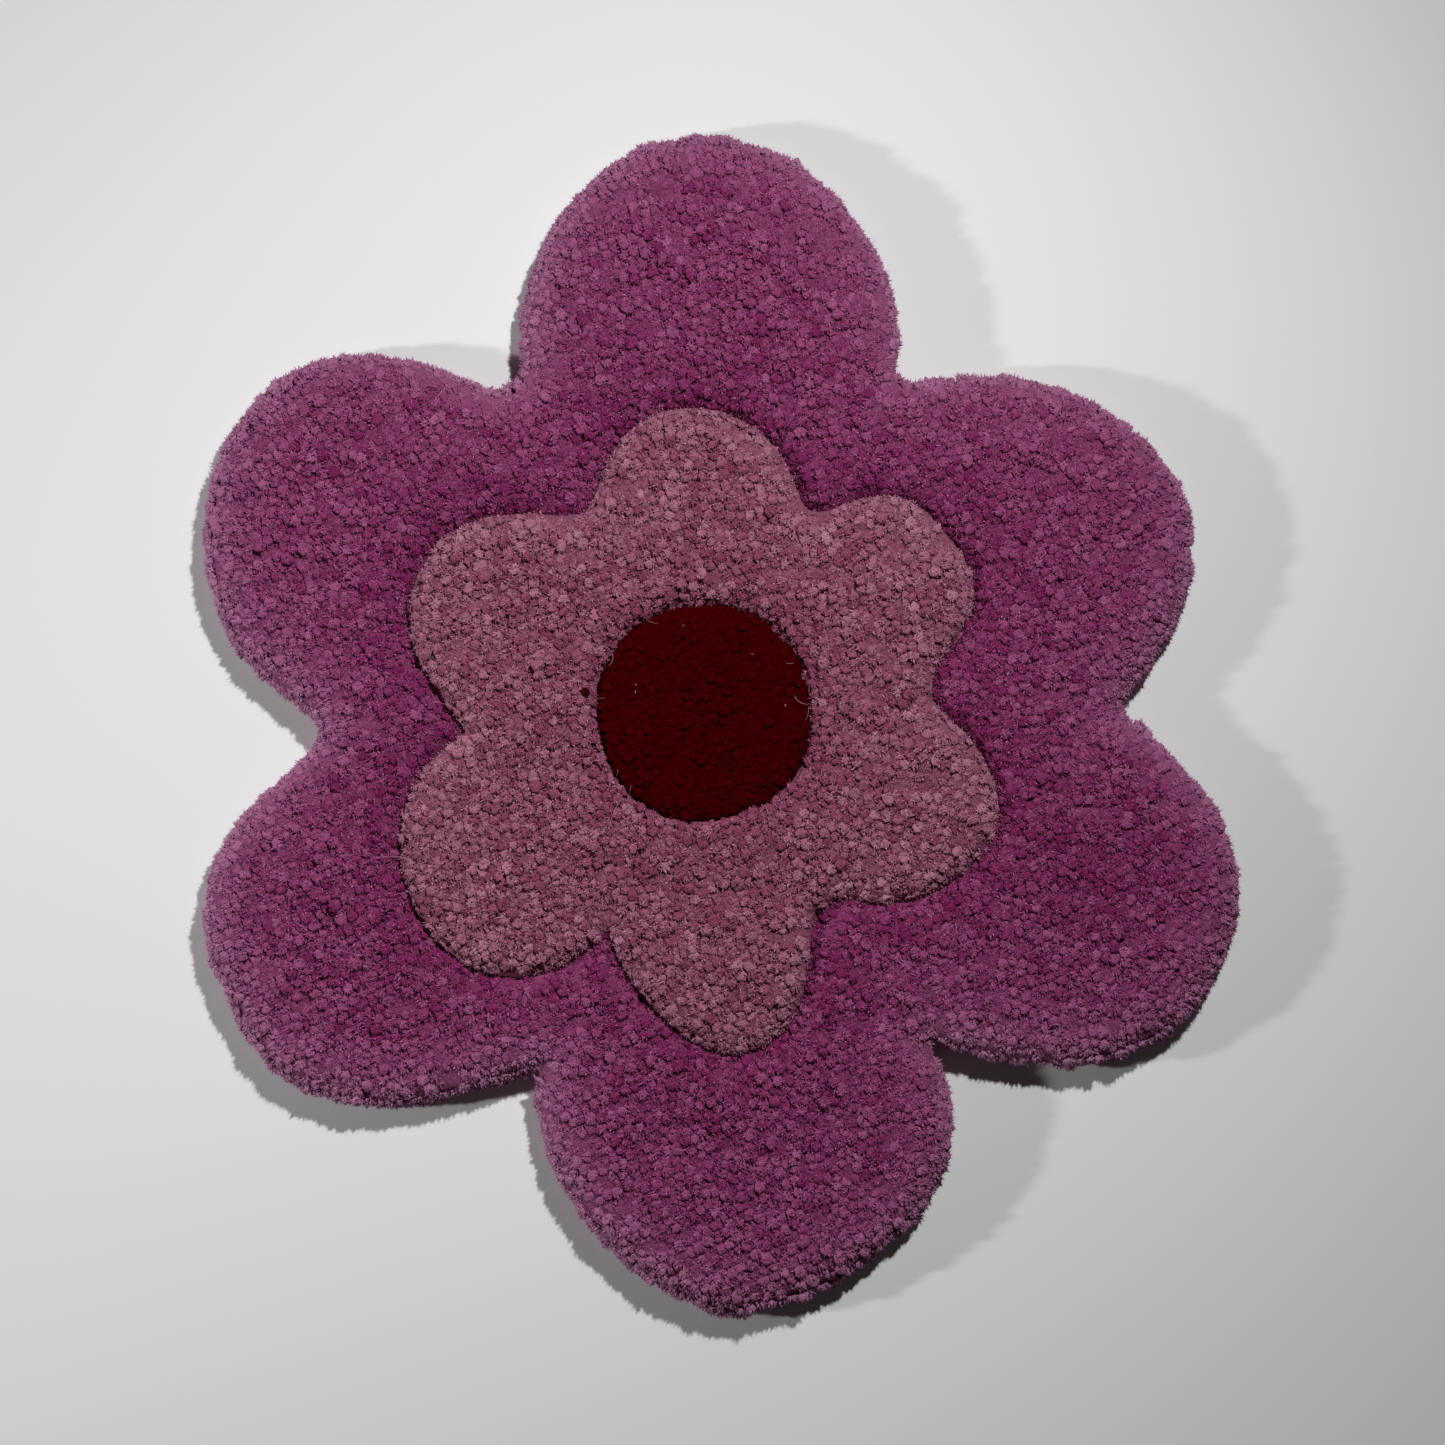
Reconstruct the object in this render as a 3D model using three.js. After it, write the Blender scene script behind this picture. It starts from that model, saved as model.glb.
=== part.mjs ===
import * as THREE from 'three';

// A tufted rug in the shape of a six-petalled flower, lying flat with its pile up.
// Millimetres. X runs to the right and Y up across the face, Z up through the pile.
// The origin is the flower's centre, on the flat underside.

// Thickness of the tufting cloth with its latex, and the gap kept between neighbouring pieces
const CLOTH_THICKNESS = 2;
const PIECE_GAP = 0.3;
// How far the pile rolls out past the edge of the cloth, and the swell under that roll
const ROLL_OVERHANG = 4;
const UNDER_ROLL = { inset: 1.2, height: 4.6 };

// The outer flower. Each petal is a rounded lobe: how far out its middle lies and at what angle,
// half its length and width, how far its length leans from the line to the centre, and how
// square it is (2 is an ellipse). The core fills the notches, and a higher blend is sharper.
const OUTER_FLOWER = {
  core: 146,
  blend: 24,
  petals: [
    { distance: 119, angle: 28, halfLength: 83, halfWidth: 73, lean: -13, squareness: 1.9 },
    { distance: 143, angle: 89, halfLength: 78, halfWidth: 72, lean: 11, squareness: 1.9 },
    { distance: 137, angle: 152, halfLength: 75, halfWidth: 69, lean: -33, squareness: 1.9 },
    { distance: 104, angle: 217, halfLength: 109, halfWidth: 73, lean: -11, squareness: 2.6 },
    { distance: 154, angle: 276, halfLength: 76, halfWidth: 80, lean: -13, squareness: 1.7 },
    { distance: 112, angle: 333, halfLength: 108, halfWidth: 73, lean: 2, squareness: 2.3 },
  ],
};

// The inner flower, in the same terms
const INNER_FLOWER = {
  core: 87,
  blend: 16,
  petals: [
    { distance: 63, angle: 34, halfLength: 52, halfWidth: 35, lean: 5, squareness: 3.0 },
    { distance: 78, angle: 92, halfLength: 39, halfWidth: 38, lean: 25, squareness: 1.9 },
    { distance: 45, angle: 156, halfLength: 76, halfWidth: 47, lean: -6, squareness: 2.2 },
    { distance: 90, angle: 216, halfLength: 47, halfWidth: 42, lean: 68, squareness: 2.1 },
    { distance: 76, angle: 271, halfLength: 55, halfWidth: 37, lean: 19, squareness: 1.9 },
    { distance: 79, angle: 335, halfLength: 41, halfWidth: 38, lean: 16, squareness: 1.8 },
  ],
};

// The round centre, a single lobe a little off the flower's middle
const CENTRE_ROUND = {
  core: 20,
  blend: 24,
  petals: [
    { distance: 1.5, angle: 172, halfLength: 41.5, halfWidth: 41, lean: 40, squareness: 2.2 },
  ],
};

// How the pile is carved: its full height, and at each edge the width and drop of the round
// shoulder. The shoulders of two neighbours make the V-shaped groove between two colours.
const RUG_RIM = { width: 13, drop: 9.8 };
const OUTER_PILE = { height: 17.4, innerEdge: { width: 16, drop: 7.5 }, outerEdge: RUG_RIM };
const INNER_PILE = {
  height: 17.8,
  innerEdge: { width: 8, drop: 5 },
  outerEdge: { width: 10, drop: 7.5 },
};
const CENTRE_PILE = { height: 17.4, outerEdge: { width: 10, drop: 4.6 } };

// Low uneven lumps that the shears leave on the pile
const LUMP_HEIGHT = 0.5;
const LUMP_LENGTHS = { x: 61, y: 47, slant: 83 };

// How finely the pieces are divided: points along each petal, and rings across each field
const POINTS_PER_PETAL = 22;
const NOTCH_CROWDING = 0.5;
const SHOULDER_STEPS = [0, 0.12, 0.35, 0.65, 1];
const OUTER_FIELD_SHARES = [0.35, 0.7];
const INNER_FIELD_SHARES = [0.5];
const CENTRE_INSETS = [14, 24];

// Search limits for a lobe's edge along a ray, and for the lowest point between two petals
const LONGEST_REACH = 400;
const HALVINGS = 40;
const NOTCH_SAMPLES = 240;

const PILE_BASE = CLOTH_THICKNESS + PIECE_GAP;
const FULL_TURN = 2 * Math.PI;
const radians = THREE.MathUtils.degToRad;

// How far out a ray from the origin leaves a lobe, or 0 where it misses the lobe
function lobeReach(petal, angle) {
  const ray = new THREE.Vector2(Math.cos(angle), Math.sin(angle));
  const bearing = radians(petal.angle);
  const heading = bearing + radians(petal.lean);
  const middle = new THREE.Vector2(Math.cos(bearing), Math.sin(bearing)).multiplyScalar(petal.distance);
  const length = new THREE.Vector2(Math.cos(heading), Math.sin(heading));
  const isInside = (reach) => {
    const offset = ray.clone().multiplyScalar(reach).sub(middle);
    const along = Math.abs(offset.dot(length) / petal.halfLength);
    const across = Math.abs(offset.cross(length) / petal.halfWidth);
    return along ** petal.squareness + across ** petal.squareness < 1;
  };
  let near = middle.dot(ray);
  if (!isInside(near)) {
    return 0;
  }
  let far = LONGEST_REACH;
  for (let step = 0; step < HALVINGS; step += 1) {
    const half = (near + far) / 2;
    if (isInside(half)) {
      near = half;
    } else {
      far = half;
    }
  }
  return Math.max(near, 0);
}

// The flower's radius at an angle: the largest of its lobes and core, softly blended
function flowerRadius(flower, angle) {
  const reaches = [flower.core, ...flower.petals.map((petal) => lobeReach(petal, angle))];
  const longest = Math.max(...reaches);
  const total = reaches.reduce((sum, reach) => sum + (reach / longest) ** flower.blend, 0);
  return longest * total ** (1 / flower.blend);
}

// The angle of the notch that follows a petal: where the flower is narrowest before the next one
function notchAfter(flower, index) {
  const count = flower.petals.length;
  const from = radians(flower.petals[index].angle);
  const next = radians(flower.petals[(index + 1) % count].angle);
  const to = next > from ? next : next + FULL_TURN;
  let notch = { angle: from, radius: LONGEST_REACH };
  for (let step = 0; step <= NOTCH_SAMPLES; step += 1) {
    const angle = from + ((to - from) * step) / NOTCH_SAMPLES;
    const radius = flowerRadius(flower, angle);
    if (radius < notch.radius) {
      notch = { angle, radius };
    }
  }
  return notch.angle;
}

// The angles of a flower's outline points, from notch to notch, crowded towards the notches
function outlineAngles(flower) {
  const notches = flower.petals.map((petal, index) => notchAfter(flower, index));
  return notches.flatMap((notch, index) => {
    const next = notches[(index + 1) % notches.length];
    const end = next > notch ? next : next + FULL_TURN;
    return Array.from({ length: POINTS_PER_PETAL }, (unused, step) => {
      const even = step / POINTS_PER_PETAL;
      const crowded = (1 - Math.cos(Math.PI * even)) / 2;
      return notch + (end - notch) * THREE.MathUtils.lerp(even, crowded, NOTCH_CROWDING);
    });
  });
}

// A closed outline as points in the plane
function outlinePoints(flower, angles) {
  return angles.map((angle) => {
    const radius = flowerRadius(flower, angle);
    return new THREE.Vector2(radius * Math.cos(angle), radius * Math.sin(angle));
  });
}

// The outline moved along its own normals: inwards for a positive inset, outwards for a negative one
function insetOutline(points, inset) {
  return points.map((point, index) => {
    const before = points[(index + points.length - 1) % points.length];
    const after = points[(index + 1) % points.length];
    const along = after.clone().sub(before).normalize();
    return new THREE.Vector2(point.x - along.y * inset, point.y + along.x * inset);
  });
}

// Each point moved towards its partner in another outline by a distance
function stepTowards(points, partners, distance) {
  return points.map((point, index) => {
    const way = partners[index].clone().sub(point).normalize();
    return way.multiplyScalar(distance).add(point);
  });
}

// Each point moved a share of the way to its partner
function blendOutlines(points, partners, share) {
  return points.map((point, index) => point.clone().lerp(partners[index], share));
}

// The shortest distance from a point to a closed outline
function distanceTo(outline, point) {
  return outline.reduce((shortest, start, index) => {
    const side = outline[(index + 1) % outline.length].clone().sub(start);
    const offset = point.clone().sub(start);
    const share = THREE.MathUtils.clamp(offset.dot(side) / side.lengthSq(), 0, 1);
    return Math.min(shortest, offset.distanceTo(side.multiplyScalar(share)));
  }, LONGEST_REACH);
}

// How far a round shoulder has dropped at a distance from its edge: a quarter of an ellipse
function shoulderDrop(shoulder, distance) {
  const rise = Math.min(distance / shoulder.width, 1);
  return shoulder.drop * (1 - Math.sqrt(1 - (1 - rise) ** 2));
}

// Low lumps on the shorn pile
function lump(point) {
  const waves = [
    Math.sin((FULL_TURN * point.x) / LUMP_LENGTHS.x),
    Math.cos((FULL_TURN * point.y) / LUMP_LENGTHS.y),
    Math.sin((FULL_TURN * (point.x + point.y)) / LUMP_LENGTHS.slant),
  ];
  return (LUMP_HEIGHT * (waves[0] + waves[1] + waves[2])) / waves.length;
}

// A ring of the pile's carved face: each point is lifted to the height that its edges leave it
function carvedRing(points, pile, edges) {
  return points.map((point) => {
    const drops = edges.map((edge) => shoulderDrop(edge.shoulder, distanceTo(edge.outline, point)));
    const drop = drops.reduce((sum, part) => sum + part, 0);
    const fullness = 1 - Math.min(drop / pile.height, 1);
    return new THREE.Vector3(point.x, point.y, pile.height - drop + lump(point) * fullness);
  });
}

// A ring at one height
function levelRing(points, height) {
  return points.map((point) => new THREE.Vector3(point.x, point.y, height));
}

// A closed solid from rings of points. Neighbouring rings are joined by triangles, and the last
// ring joins the first one, or else each end is closed by a fan about its middle.
function ringSolid(rings, isHollow) {
  const count = rings[0].length;
  const vertices = rings.flat();
  const triangles = [];
  const strips = isHollow ? rings.length : rings.length - 1;
  for (let ring = 0; ring < strips; ring += 1) {
    const lower = ring * count;
    const upper = ((ring + 1) % rings.length) * count;
    for (let index = 0; index < count; index += 1) {
      const next = (index + 1) % count;
      triangles.push(lower + index, lower + next, upper + next);
      triangles.push(lower + index, upper + next, upper + index);
    }
  }
  if (!isHollow) {
    [rings[0], rings[rings.length - 1]].forEach((ring, end) => {
      const middle = ring.reduce((sum, point) => sum.add(point), new THREE.Vector3()).divideScalar(count);
      const start = end === 0 ? 0 : (rings.length - 1) * count;
      vertices.push(middle);
      for (let index = 0; index < count; index += 1) {
        const pair = [start + index, start + ((index + 1) % count)];
        triangles.push(vertices.length - 1, ...(end === 0 ? pair.reverse() : pair));
      }
    });
  }
  const geometry = new THREE.BufferGeometry();
  const numbers = vertices.flatMap((vertex) => vertex.toArray());
  geometry.setAttribute('position', new THREE.Float32BufferAttribute(numbers, 3));
  geometry.setIndex(triangles);
  geometry.computeVertexNormals();
  return geometry;
}

// The distances across a shoulder at which it gets a ring, from its edge inwards
function shoulderInsets(shoulder) {
  return SHOULDER_STEPS.map((share) => share * shoulder.width);
}

const outerAngles = outlineAngles(OUTER_FLOWER);
const innerAngles = outlineAngles(INNER_FLOWER);
const rugOutline = outlinePoints(OUTER_FLOWER, outerAngles);
const innerOutline = outlinePoints(INNER_FLOWER, innerAngles);
const centreOutline = outlinePoints(CENTRE_ROUND, innerAngles);
const clothOutline = insetOutline(rugOutline, ROLL_OVERHANG);

// The tufting cloth with its latex: a flat flower that ends a little inside the pile's roll
function groundCloth() {
  const shape = new THREE.Shape(clothOutline);
  return new THREE.ExtrudeGeometry(shape, { depth: CLOTH_THICKNESS, bevelEnabled: false });
}

// The pile of the outer flower: out over its underside, up round the roll of the rim, across the
// carved face and down into the groove round the inner flower
function outerPile() {
  const edges = [
    { outline: rugOutline, shoulder: OUTER_PILE.outerEdge },
    { outline: innerOutline, shoulder: OUTER_PILE.innerEdge },
  ];
  const rim = shoulderInsets(OUTER_PILE.outerEdge).map((inset) => insetOutline(rugOutline, inset));
  const shoulderTop = rim[rim.length - 1];
  const start = stepTowards(innerOutline, shoulderTop, PIECE_GAP / 2);
  const groove = shoulderInsets(OUTER_PILE.innerEdge).map((step) => stepTowards(start, shoulderTop, step));
  const grooveTop = groove[groove.length - 1];
  const middle = OUTER_FIELD_SHARES.map((share) => blendOutlines(shoulderTop, grooveTop, share));
  const face = [...rim, ...middle, ...groove.reverse()];
  return ringSolid([
    levelRing(start, PILE_BASE),
    levelRing(clothOutline, PILE_BASE),
    levelRing(insetOutline(rugOutline, UNDER_ROLL.inset), UNDER_ROLL.height),
    ...face.map((points) => carvedRing(points, OUTER_PILE, edges)),
  ], true);
}

// The pile of the inner flower: a field with a rounded rim and a round hole for the centre
function innerPile() {
  const edges = [
    { outline: innerOutline, shoulder: INNER_PILE.outerEdge },
    { outline: centreOutline, shoulder: INNER_PILE.innerEdge },
  ];
  const edge = insetOutline(innerOutline, PIECE_GAP / 2);
  const rim = shoulderInsets(INNER_PILE.outerEdge).map((inset) => insetOutline(edge, inset));
  const hole = insetOutline(centreOutline, -PIECE_GAP / 2);
  const groove = shoulderInsets(INNER_PILE.innerEdge).map((step) => insetOutline(hole, -step));
  const grooveTop = groove[groove.length - 1];
  const middle = INNER_FIELD_SHARES.map((share) => blendOutlines(rim[rim.length - 1], grooveTop, share));
  const face = [...rim, ...middle, ...groove.reverse()];
  return ringSolid([
    levelRing(hole, PILE_BASE),
    levelRing(edge, PILE_BASE),
    ...face.map((points) => carvedRing(points, INNER_PILE, edges)),
  ], true);
}

// The pile of the centre: a low round cushion
function centrePile() {
  const edges = [{ outline: centreOutline, shoulder: CENTRE_PILE.outerEdge }];
  const edge = insetOutline(centreOutline, PIECE_GAP / 2);
  const insets = [...shoulderInsets(CENTRE_PILE.outerEdge), ...CENTRE_INSETS];
  const face = insets.map((inset) => insetOutline(edge, inset));
  return ringSolid([
    levelRing(edge, PILE_BASE),
    ...face.map((points) => carvedRing(points, CENTRE_PILE, edges)),
  ], false);
}

// A named piece with its own cloth or yarn colour
function piece(name, geometry, color, roughness) {
  const material = new THREE.MeshStandardMaterial({ color, roughness, metalness: 0 });
  const mesh = new THREE.Mesh(geometry, material);
  mesh.name = name;
  return mesh;
}

const rug = new THREE.Group();
rug.name = 'tufted_rug';
rug.add(piece('ground_cloth', groundCloth(), 0xb8ad98, 0.95));
rug.add(piece('outer_pile', outerPile(), 0x7d3560, 1));
rug.add(piece('inner_pile', innerPile(), 0x8a5166, 1));
rug.add(piece('centre_pile', centrePile(), 0x4a0408, 0.9));

export default rug;
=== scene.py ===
import math
from collections import namedtuple

import bpy
import numpy as np
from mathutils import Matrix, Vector


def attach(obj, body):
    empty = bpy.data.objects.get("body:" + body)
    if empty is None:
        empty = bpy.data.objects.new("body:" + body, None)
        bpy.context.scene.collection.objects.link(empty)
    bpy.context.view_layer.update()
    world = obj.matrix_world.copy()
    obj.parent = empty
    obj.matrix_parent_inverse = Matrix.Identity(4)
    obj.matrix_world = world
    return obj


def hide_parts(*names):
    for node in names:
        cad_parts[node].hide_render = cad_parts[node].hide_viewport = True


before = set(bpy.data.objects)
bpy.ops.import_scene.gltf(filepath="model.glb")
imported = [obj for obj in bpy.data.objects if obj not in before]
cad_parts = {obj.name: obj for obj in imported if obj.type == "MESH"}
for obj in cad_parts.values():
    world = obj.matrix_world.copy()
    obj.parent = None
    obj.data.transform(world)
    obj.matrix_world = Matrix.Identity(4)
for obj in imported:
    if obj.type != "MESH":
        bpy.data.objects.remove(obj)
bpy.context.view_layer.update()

# Sizes are in millimetres, as the rug's maker would read them, and meshes are made in metres.
MM = 0.001
random = np.random.default_rng(20)

# The drawn shapes. A flower is a core and six lobes, a lobe is a leaning rounded oval.
Lobe = namedtuple("Lobe", "distance angle half_length half_width lean squareness")
Flower = namedtuple("Flower", "core blend lobes")
RUG = Flower(146, 24, (
    Lobe(119, 28, 83, 73, -13, 1.9),
    Lobe(143, 89, 78, 72, 11, 1.9),
    Lobe(137, 152, 75, 69, -33, 1.9),
    Lobe(104, 217, 109, 73, -11, 2.6),
    Lobe(154, 276, 76, 80, -13, 1.7),
    Lobe(112, 333, 108, 73, 2, 2.3),
))
INNER = Flower(87, 16, (
    Lobe(63, 34, 52, 35, 5, 3.0),
    Lobe(78, 92, 39, 38, 25, 1.9),
    Lobe(45, 156, 76, 47, -6, 2.2),
    Lobe(90, 216, 47, 42, 68, 2.1),
    Lobe(76, 271, 55, 37, 19, 1.9),
    Lobe(79, 335, 41, 38, 16, 1.8),
))
CENTRE = Flower(20, 24, (Lobe(0.6, 60, 41.2, 40.8, 40, 2.2),))

# How finely outlines are worked out: their points, how far out they are looked for, how often a
# stretch is halved, how many places are compared with an outline at once, and how near an outline
# a place takes the outline's own normal
OUTLINE_POINTS = 1200
LONGEST_REACH = 400
HALVINGS = 34
BLOCK = 2000
BESIDE = 0.8
TINY = 1e-6

# The cloth's thickness and how far inside the pile's edge it ends, then the carved pile: the width
# and drop of its shoulders, each field's full height, and its low lumps
CLOTH_TOP = 2.0
CLOTH_INSET = 4.0
Shoulder = namedtuple("Shoulder", "width drop")
RUG_RIM = Shoulder(12, 9)
OUTER_GROOVE = Shoulder(16, 6.5)
INNER_RIM = Shoulder(10, 6)
INNER_GROOVE = Shoulder(8, 3.6)
CENTRE_RIM = Shoulder(10, 4.0)
OUTER_HEIGHT = 17.4
INNER_HEIGHT = 17.8
CENTRE_HEIGHT = 17.4
LUMP_HEIGHT = 0.5
LUMP_LENGTHS = (61, 47, 83)

# The yarn: how far apart its ends stand, how unlike in thickness they are, how many sides each is
# drawn with, how wide it can bloom, the gap to its neighbours (below 0 they press into each
# other) and how sharply the two limits meet
PITCH = 4.08
SIZE_SPREAD = 0.14
SIZE_LIMITS = (0.75, 1.3)
TUFT_SIDES = 6
MOST_RADIUS = 2.5
TIP_GAP = -0.06
ROUNDING = 12.0

# The rows along an edge: how unevenly their ends are spaced and how far one may miss the row, in
# spacings. The rows across a petal: their spacing and unevenness in pitches, and their sway.
ROW_JITTER = 0.12
ROW_MISS = 0.3
ROW_SPACING = 0.87
ROW_SCATTER = 0.26
SWAY = 1.6
SWAY_LENGTHS = (23, 31)

# How crowded ends are pushed apart: the distance that two ends of usual size keep and that within
# which they are looked at, both in pitches, the rounds, the push in each and its limit
PACKING = 1.12
PUSH_REACH = 1.5
PUSH_ROUNDS = 26
PUSH = 0.10
PUSH_LIMIT = PITCH / 4


def lobe_reach(lobe, angles):
    """How far out rays from the origin leave a lobe, or 0 where they miss it.

    The lobe is |along / half_length| ** squareness + |across / half_width| ** squareness = 1 about
    its middle, and the crossing is found by halving the stretch from the point nearest the middle.
    """
    bearing = math.radians(lobe.angle)
    heading = bearing + math.radians(lobe.lean)
    middle = lobe.distance * np.array([math.cos(bearing), math.sin(bearing)])
    rays = np.stack([np.cos(angles), np.sin(angles)], axis=-1)

    def is_inside(reach):
        offset = rays * reach[:, None] - middle
        along = offset @ [math.cos(heading), math.sin(heading)] / lobe.half_length
        across = offset @ [-math.sin(heading), math.cos(heading)] / lobe.half_width
        return np.abs(along) ** lobe.squareness + np.abs(across) ** lobe.squareness < 1

    near = rays @ middle
    is_hit = is_inside(near)
    far = np.full_like(near, LONGEST_REACH)
    for _ in range(HALVINGS):
        half = (near + far) / 2
        inside = is_inside(half)
        near = np.where(inside, half, near)
        far = np.where(inside, far, half)
    return np.where(is_hit, np.maximum(near, 0), 0)


def flower_radius(flower, angles):
    """The flower's radius at the angles: the largest of its core and lobes, softly blended."""
    reaches = np.array([lobe_reach(lobe, angles) for lobe in flower.lobes])
    reaches = np.vstack([reaches, np.full_like(angles, flower.core)])
    longest = reaches.max(axis=0)
    return longest * ((reaches / longest) ** flower.blend).sum(axis=0) ** (1 / flower.blend)


class Outline:
    """A closed flower outline: its points, their outward normals and the length along it."""

    def __init__(self, flower):
        self.flower = flower
        angles = np.linspace(0, 2 * np.pi, OUTLINE_POINTS, endpoint=False)
        radius = flower_radius(flower, angles)
        self.angles, self.radius = angles, radius
        self.points = np.stack([radius * np.cos(angles), radius * np.sin(angles)], axis=-1)
        along = np.roll(self.points, -1, axis=0) - np.roll(self.points, 1, axis=0)
        along /= np.linalg.norm(along, axis=1, keepdims=True)
        self.normals = np.stack([along[:, 1], -along[:, 0]], axis=-1)

    def depth(self, places):
        """How far places lie inside the outline (negative outside), and the outward direction
        there: away from the nearest point of the outline, or its normal right beside it."""
        squares = (self.points ** 2).sum(axis=1)
        nearest = np.concatenate([
            (squares - 2 * part @ self.points.T).argmin(axis=1)
            for part in np.array_split(places, max(1, len(places) // BLOCK))
        ])
        best = np.full(len(places), np.inf)
        closest = self.points[nearest]
        for step in (-1, 1):
            start = self.points[nearest]
            side = self.points[(nearest + step) % OUTLINE_POINTS] - start
            share = ((places - start) * side).sum(axis=1) / (side ** 2).sum(axis=1)
            foot = start + side * np.clip(share, 0, 1)[:, None]
            distance = np.linalg.norm(places - foot, axis=1)
            closest = np.where((distance < best)[:, None], foot, closest)
            best = np.minimum(best, distance)
        angles = np.arctan2(places[:, 1], places[:, 0])
        radius = np.interp(angles, self.angles, self.radius, period=2 * np.pi)
        inside = np.where(np.linalg.norm(places, axis=1) < radius, 1, -1)
        away = (closest - places) * inside[:, None] / np.maximum(best, TINY)[:, None]
        is_beside = (best < BESIDE)[:, None]
        return best * inside, np.where(is_beside, self.normals[nearest], away)

    def row(self, inset, spacing):
        """Places along the outline moved inwards by an inset, a spacing apart, but not where the
        moved line would lie too near another stretch of the outline."""
        line = self.points - self.normals * inset
        steps = np.linalg.norm(np.roll(line, -1, axis=0) - line, axis=1)
        travel = np.concatenate([[0], np.cumsum(steps)])
        count = max(3, round(travel[-1] / spacing))
        wanted = (np.arange(count) + random.uniform(0, 1)) * travel[-1] / count
        wanted = (wanted + random.normal(0, ROW_JITTER * spacing, count)) % travel[-1]
        closed = np.vstack([line, line[:1]])
        places = np.stack([np.interp(wanted, travel, closed[:, axis]) for axis in (0, 1)], axis=-1)
        depth, _ = self.depth(places)
        return places[np.abs(depth - inset) < ROW_MISS * spacing]


rug_outline = Outline(RUG)
inner_outline = Outline(INNER)
centre_outline = Outline(CENTRE)


def shoulder_drop(shoulder, distance):
    """How far a round shoulder has dropped at a distance from its edge: a quarter of an ellipse."""
    rise = np.clip(distance / shoulder.width, 0, 1)
    return shoulder.drop * (1 - np.sqrt(1 - (1 - rise) ** 2))


def lumps(places):
    """Low uneven lumps that the shears leave: three crossing waves."""
    x, y = places[:, 0], places[:, 1]
    waves = np.sin(2 * np.pi * x / LUMP_LENGTHS[0]) + np.cos(2 * np.pi * y / LUMP_LENGTHS[1])
    return LUMP_HEIGHT * (waves + np.sin(2 * np.pi * (x + y) / LUMP_LENGTHS[2])) / 3


class Unevenness:
    """A smooth uneven field over the rug: many plane waves of like length in random directions,
    summed and scaled so that its spread is 1."""

    def __init__(self, shortest, longest, count=48):
        heading = random.uniform(0, 2 * np.pi, count)
        number = 2 * np.pi / random.uniform(shortest, longest, count)
        self.waves = np.stack([number * np.cos(heading), number * np.sin(heading)])
        self.starts = random.uniform(0, 2 * np.pi, count)
        self.scale = math.sqrt(2 / count)

    def __call__(self, places):
        return np.cos(places @ self.waves + self.starts).sum(axis=1) * self.scale


# Slow changes over the rug, by their shortest and longest waves: in the ends' height and tone, in
# the line of the edges, and in the lean of the ends to the right and upwards
clump_height = Unevenness(9, 22)
clump_tone = Unevenness(8, 20)
edge_waver = Unevenness(11, 42)
clump_lean = (Unevenness(9, 20), Unevenness(9, 20))

# Each colour field: its full height and its edges, as pairs of an outline and a shoulder
Field = namedtuple("Field", "height outer_edge outer_shoulder inner_edge inner_shoulder")
OUTER_FIELD = Field(OUTER_HEIGHT, rug_outline, RUG_RIM, inner_outline, OUTER_GROOVE)
INNER_FIELD = Field(INNER_HEIGHT, inner_outline, INNER_RIM, centre_outline, INNER_GROOVE)
CENTRE_FIELD = Field(CENTRE_HEIGHT, centre_outline, CENTRE_RIM, None, None)


def carved_height(field, places):
    """The height of the shorn pile over places in a field: its full height, less the drop of
    each shoulder, plus the lumps."""
    drop = shoulder_drop(field.outer_shoulder, field.outer_edge.depth(places)[0])
    if field.inner_edge:
        drop = drop + shoulder_drop(field.inner_shoulder, -field.inner_edge.depth(places)[0])
    return field.height - drop + lumps(places) * (1 - drop / field.height)


def carved_normal(field, places):
    """The upward normal of the shorn pile, from its slope over a millimetre."""
    step = 0.5
    across = carved_height(field, places + [step, 0]) - carved_height(field, places - [step, 0])
    along = carved_height(field, places + [0, step]) - carved_height(field, places - [0, step])
    normal = np.stack([-across / (2 * step), -along / (2 * step), np.ones(len(places))], axis=-1)
    return normal / np.linalg.norm(normal, axis=1, keepdims=True)


# The rows of yarn ends that a maker lays along an edge, from the edge inwards: how far inside the
# edge the end's tip and root lie. Where the rug's rim rolls over, a row has its own height.
EdgeRow = namedtuple("EdgeRow", "tip root height")
RIM_ROWS = (
    EdgeRow(0.9, 4.7, 4.3),
    EdgeRow(0.3, 6.3, 8.6),
    EdgeRow(1.9, 7.5, None),
)
OUTER_GROOVE_ROWS = (
    EdgeRow(1.4, 1.6, None),
)
INNER_RIM_ROWS = (
    EdgeRow(0.6, 1.8, None),
)
INNER_GROOVE_ROWS = (
    EdgeRow(0.2, 1.7, None),
)
CENTRE_RIM_ROWS = (
    EdgeRow(2.4, 3.4, None),
)


def near_pairs(places, reach):
    """For each place, the numbers of the places within a reach, as a table padded with -1.

    Places are sorted into square cells as wide as the reach, and each looks in its own cell and
    the eight round it.
    """
    low = places.min(axis=0) - reach
    cells = ((places - low) // reach).astype(int)
    width = cells.max(axis=0) + 3
    order = np.lexsort((cells[:, 1], cells[:, 0]))
    key = cells[order, 0] * width[1] + cells[order, 1]
    first = np.searchsorted(key, key)
    slot = np.arange(len(order)) - first
    table = np.full((width[0] * width[1], slot.max() + 1), -1)
    table[key, slot] = order
    sides = np.array([(x, y) for x in (-1, 0, 1) for y in (-1, 0, 1)])
    around = cells[:, None, :] + sides[None]
    found = table[around[..., 0] * width[1] + around[..., 1]].reshape(len(places), -1)
    found[found == np.arange(len(places))[:, None]] = -1
    return found


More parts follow.
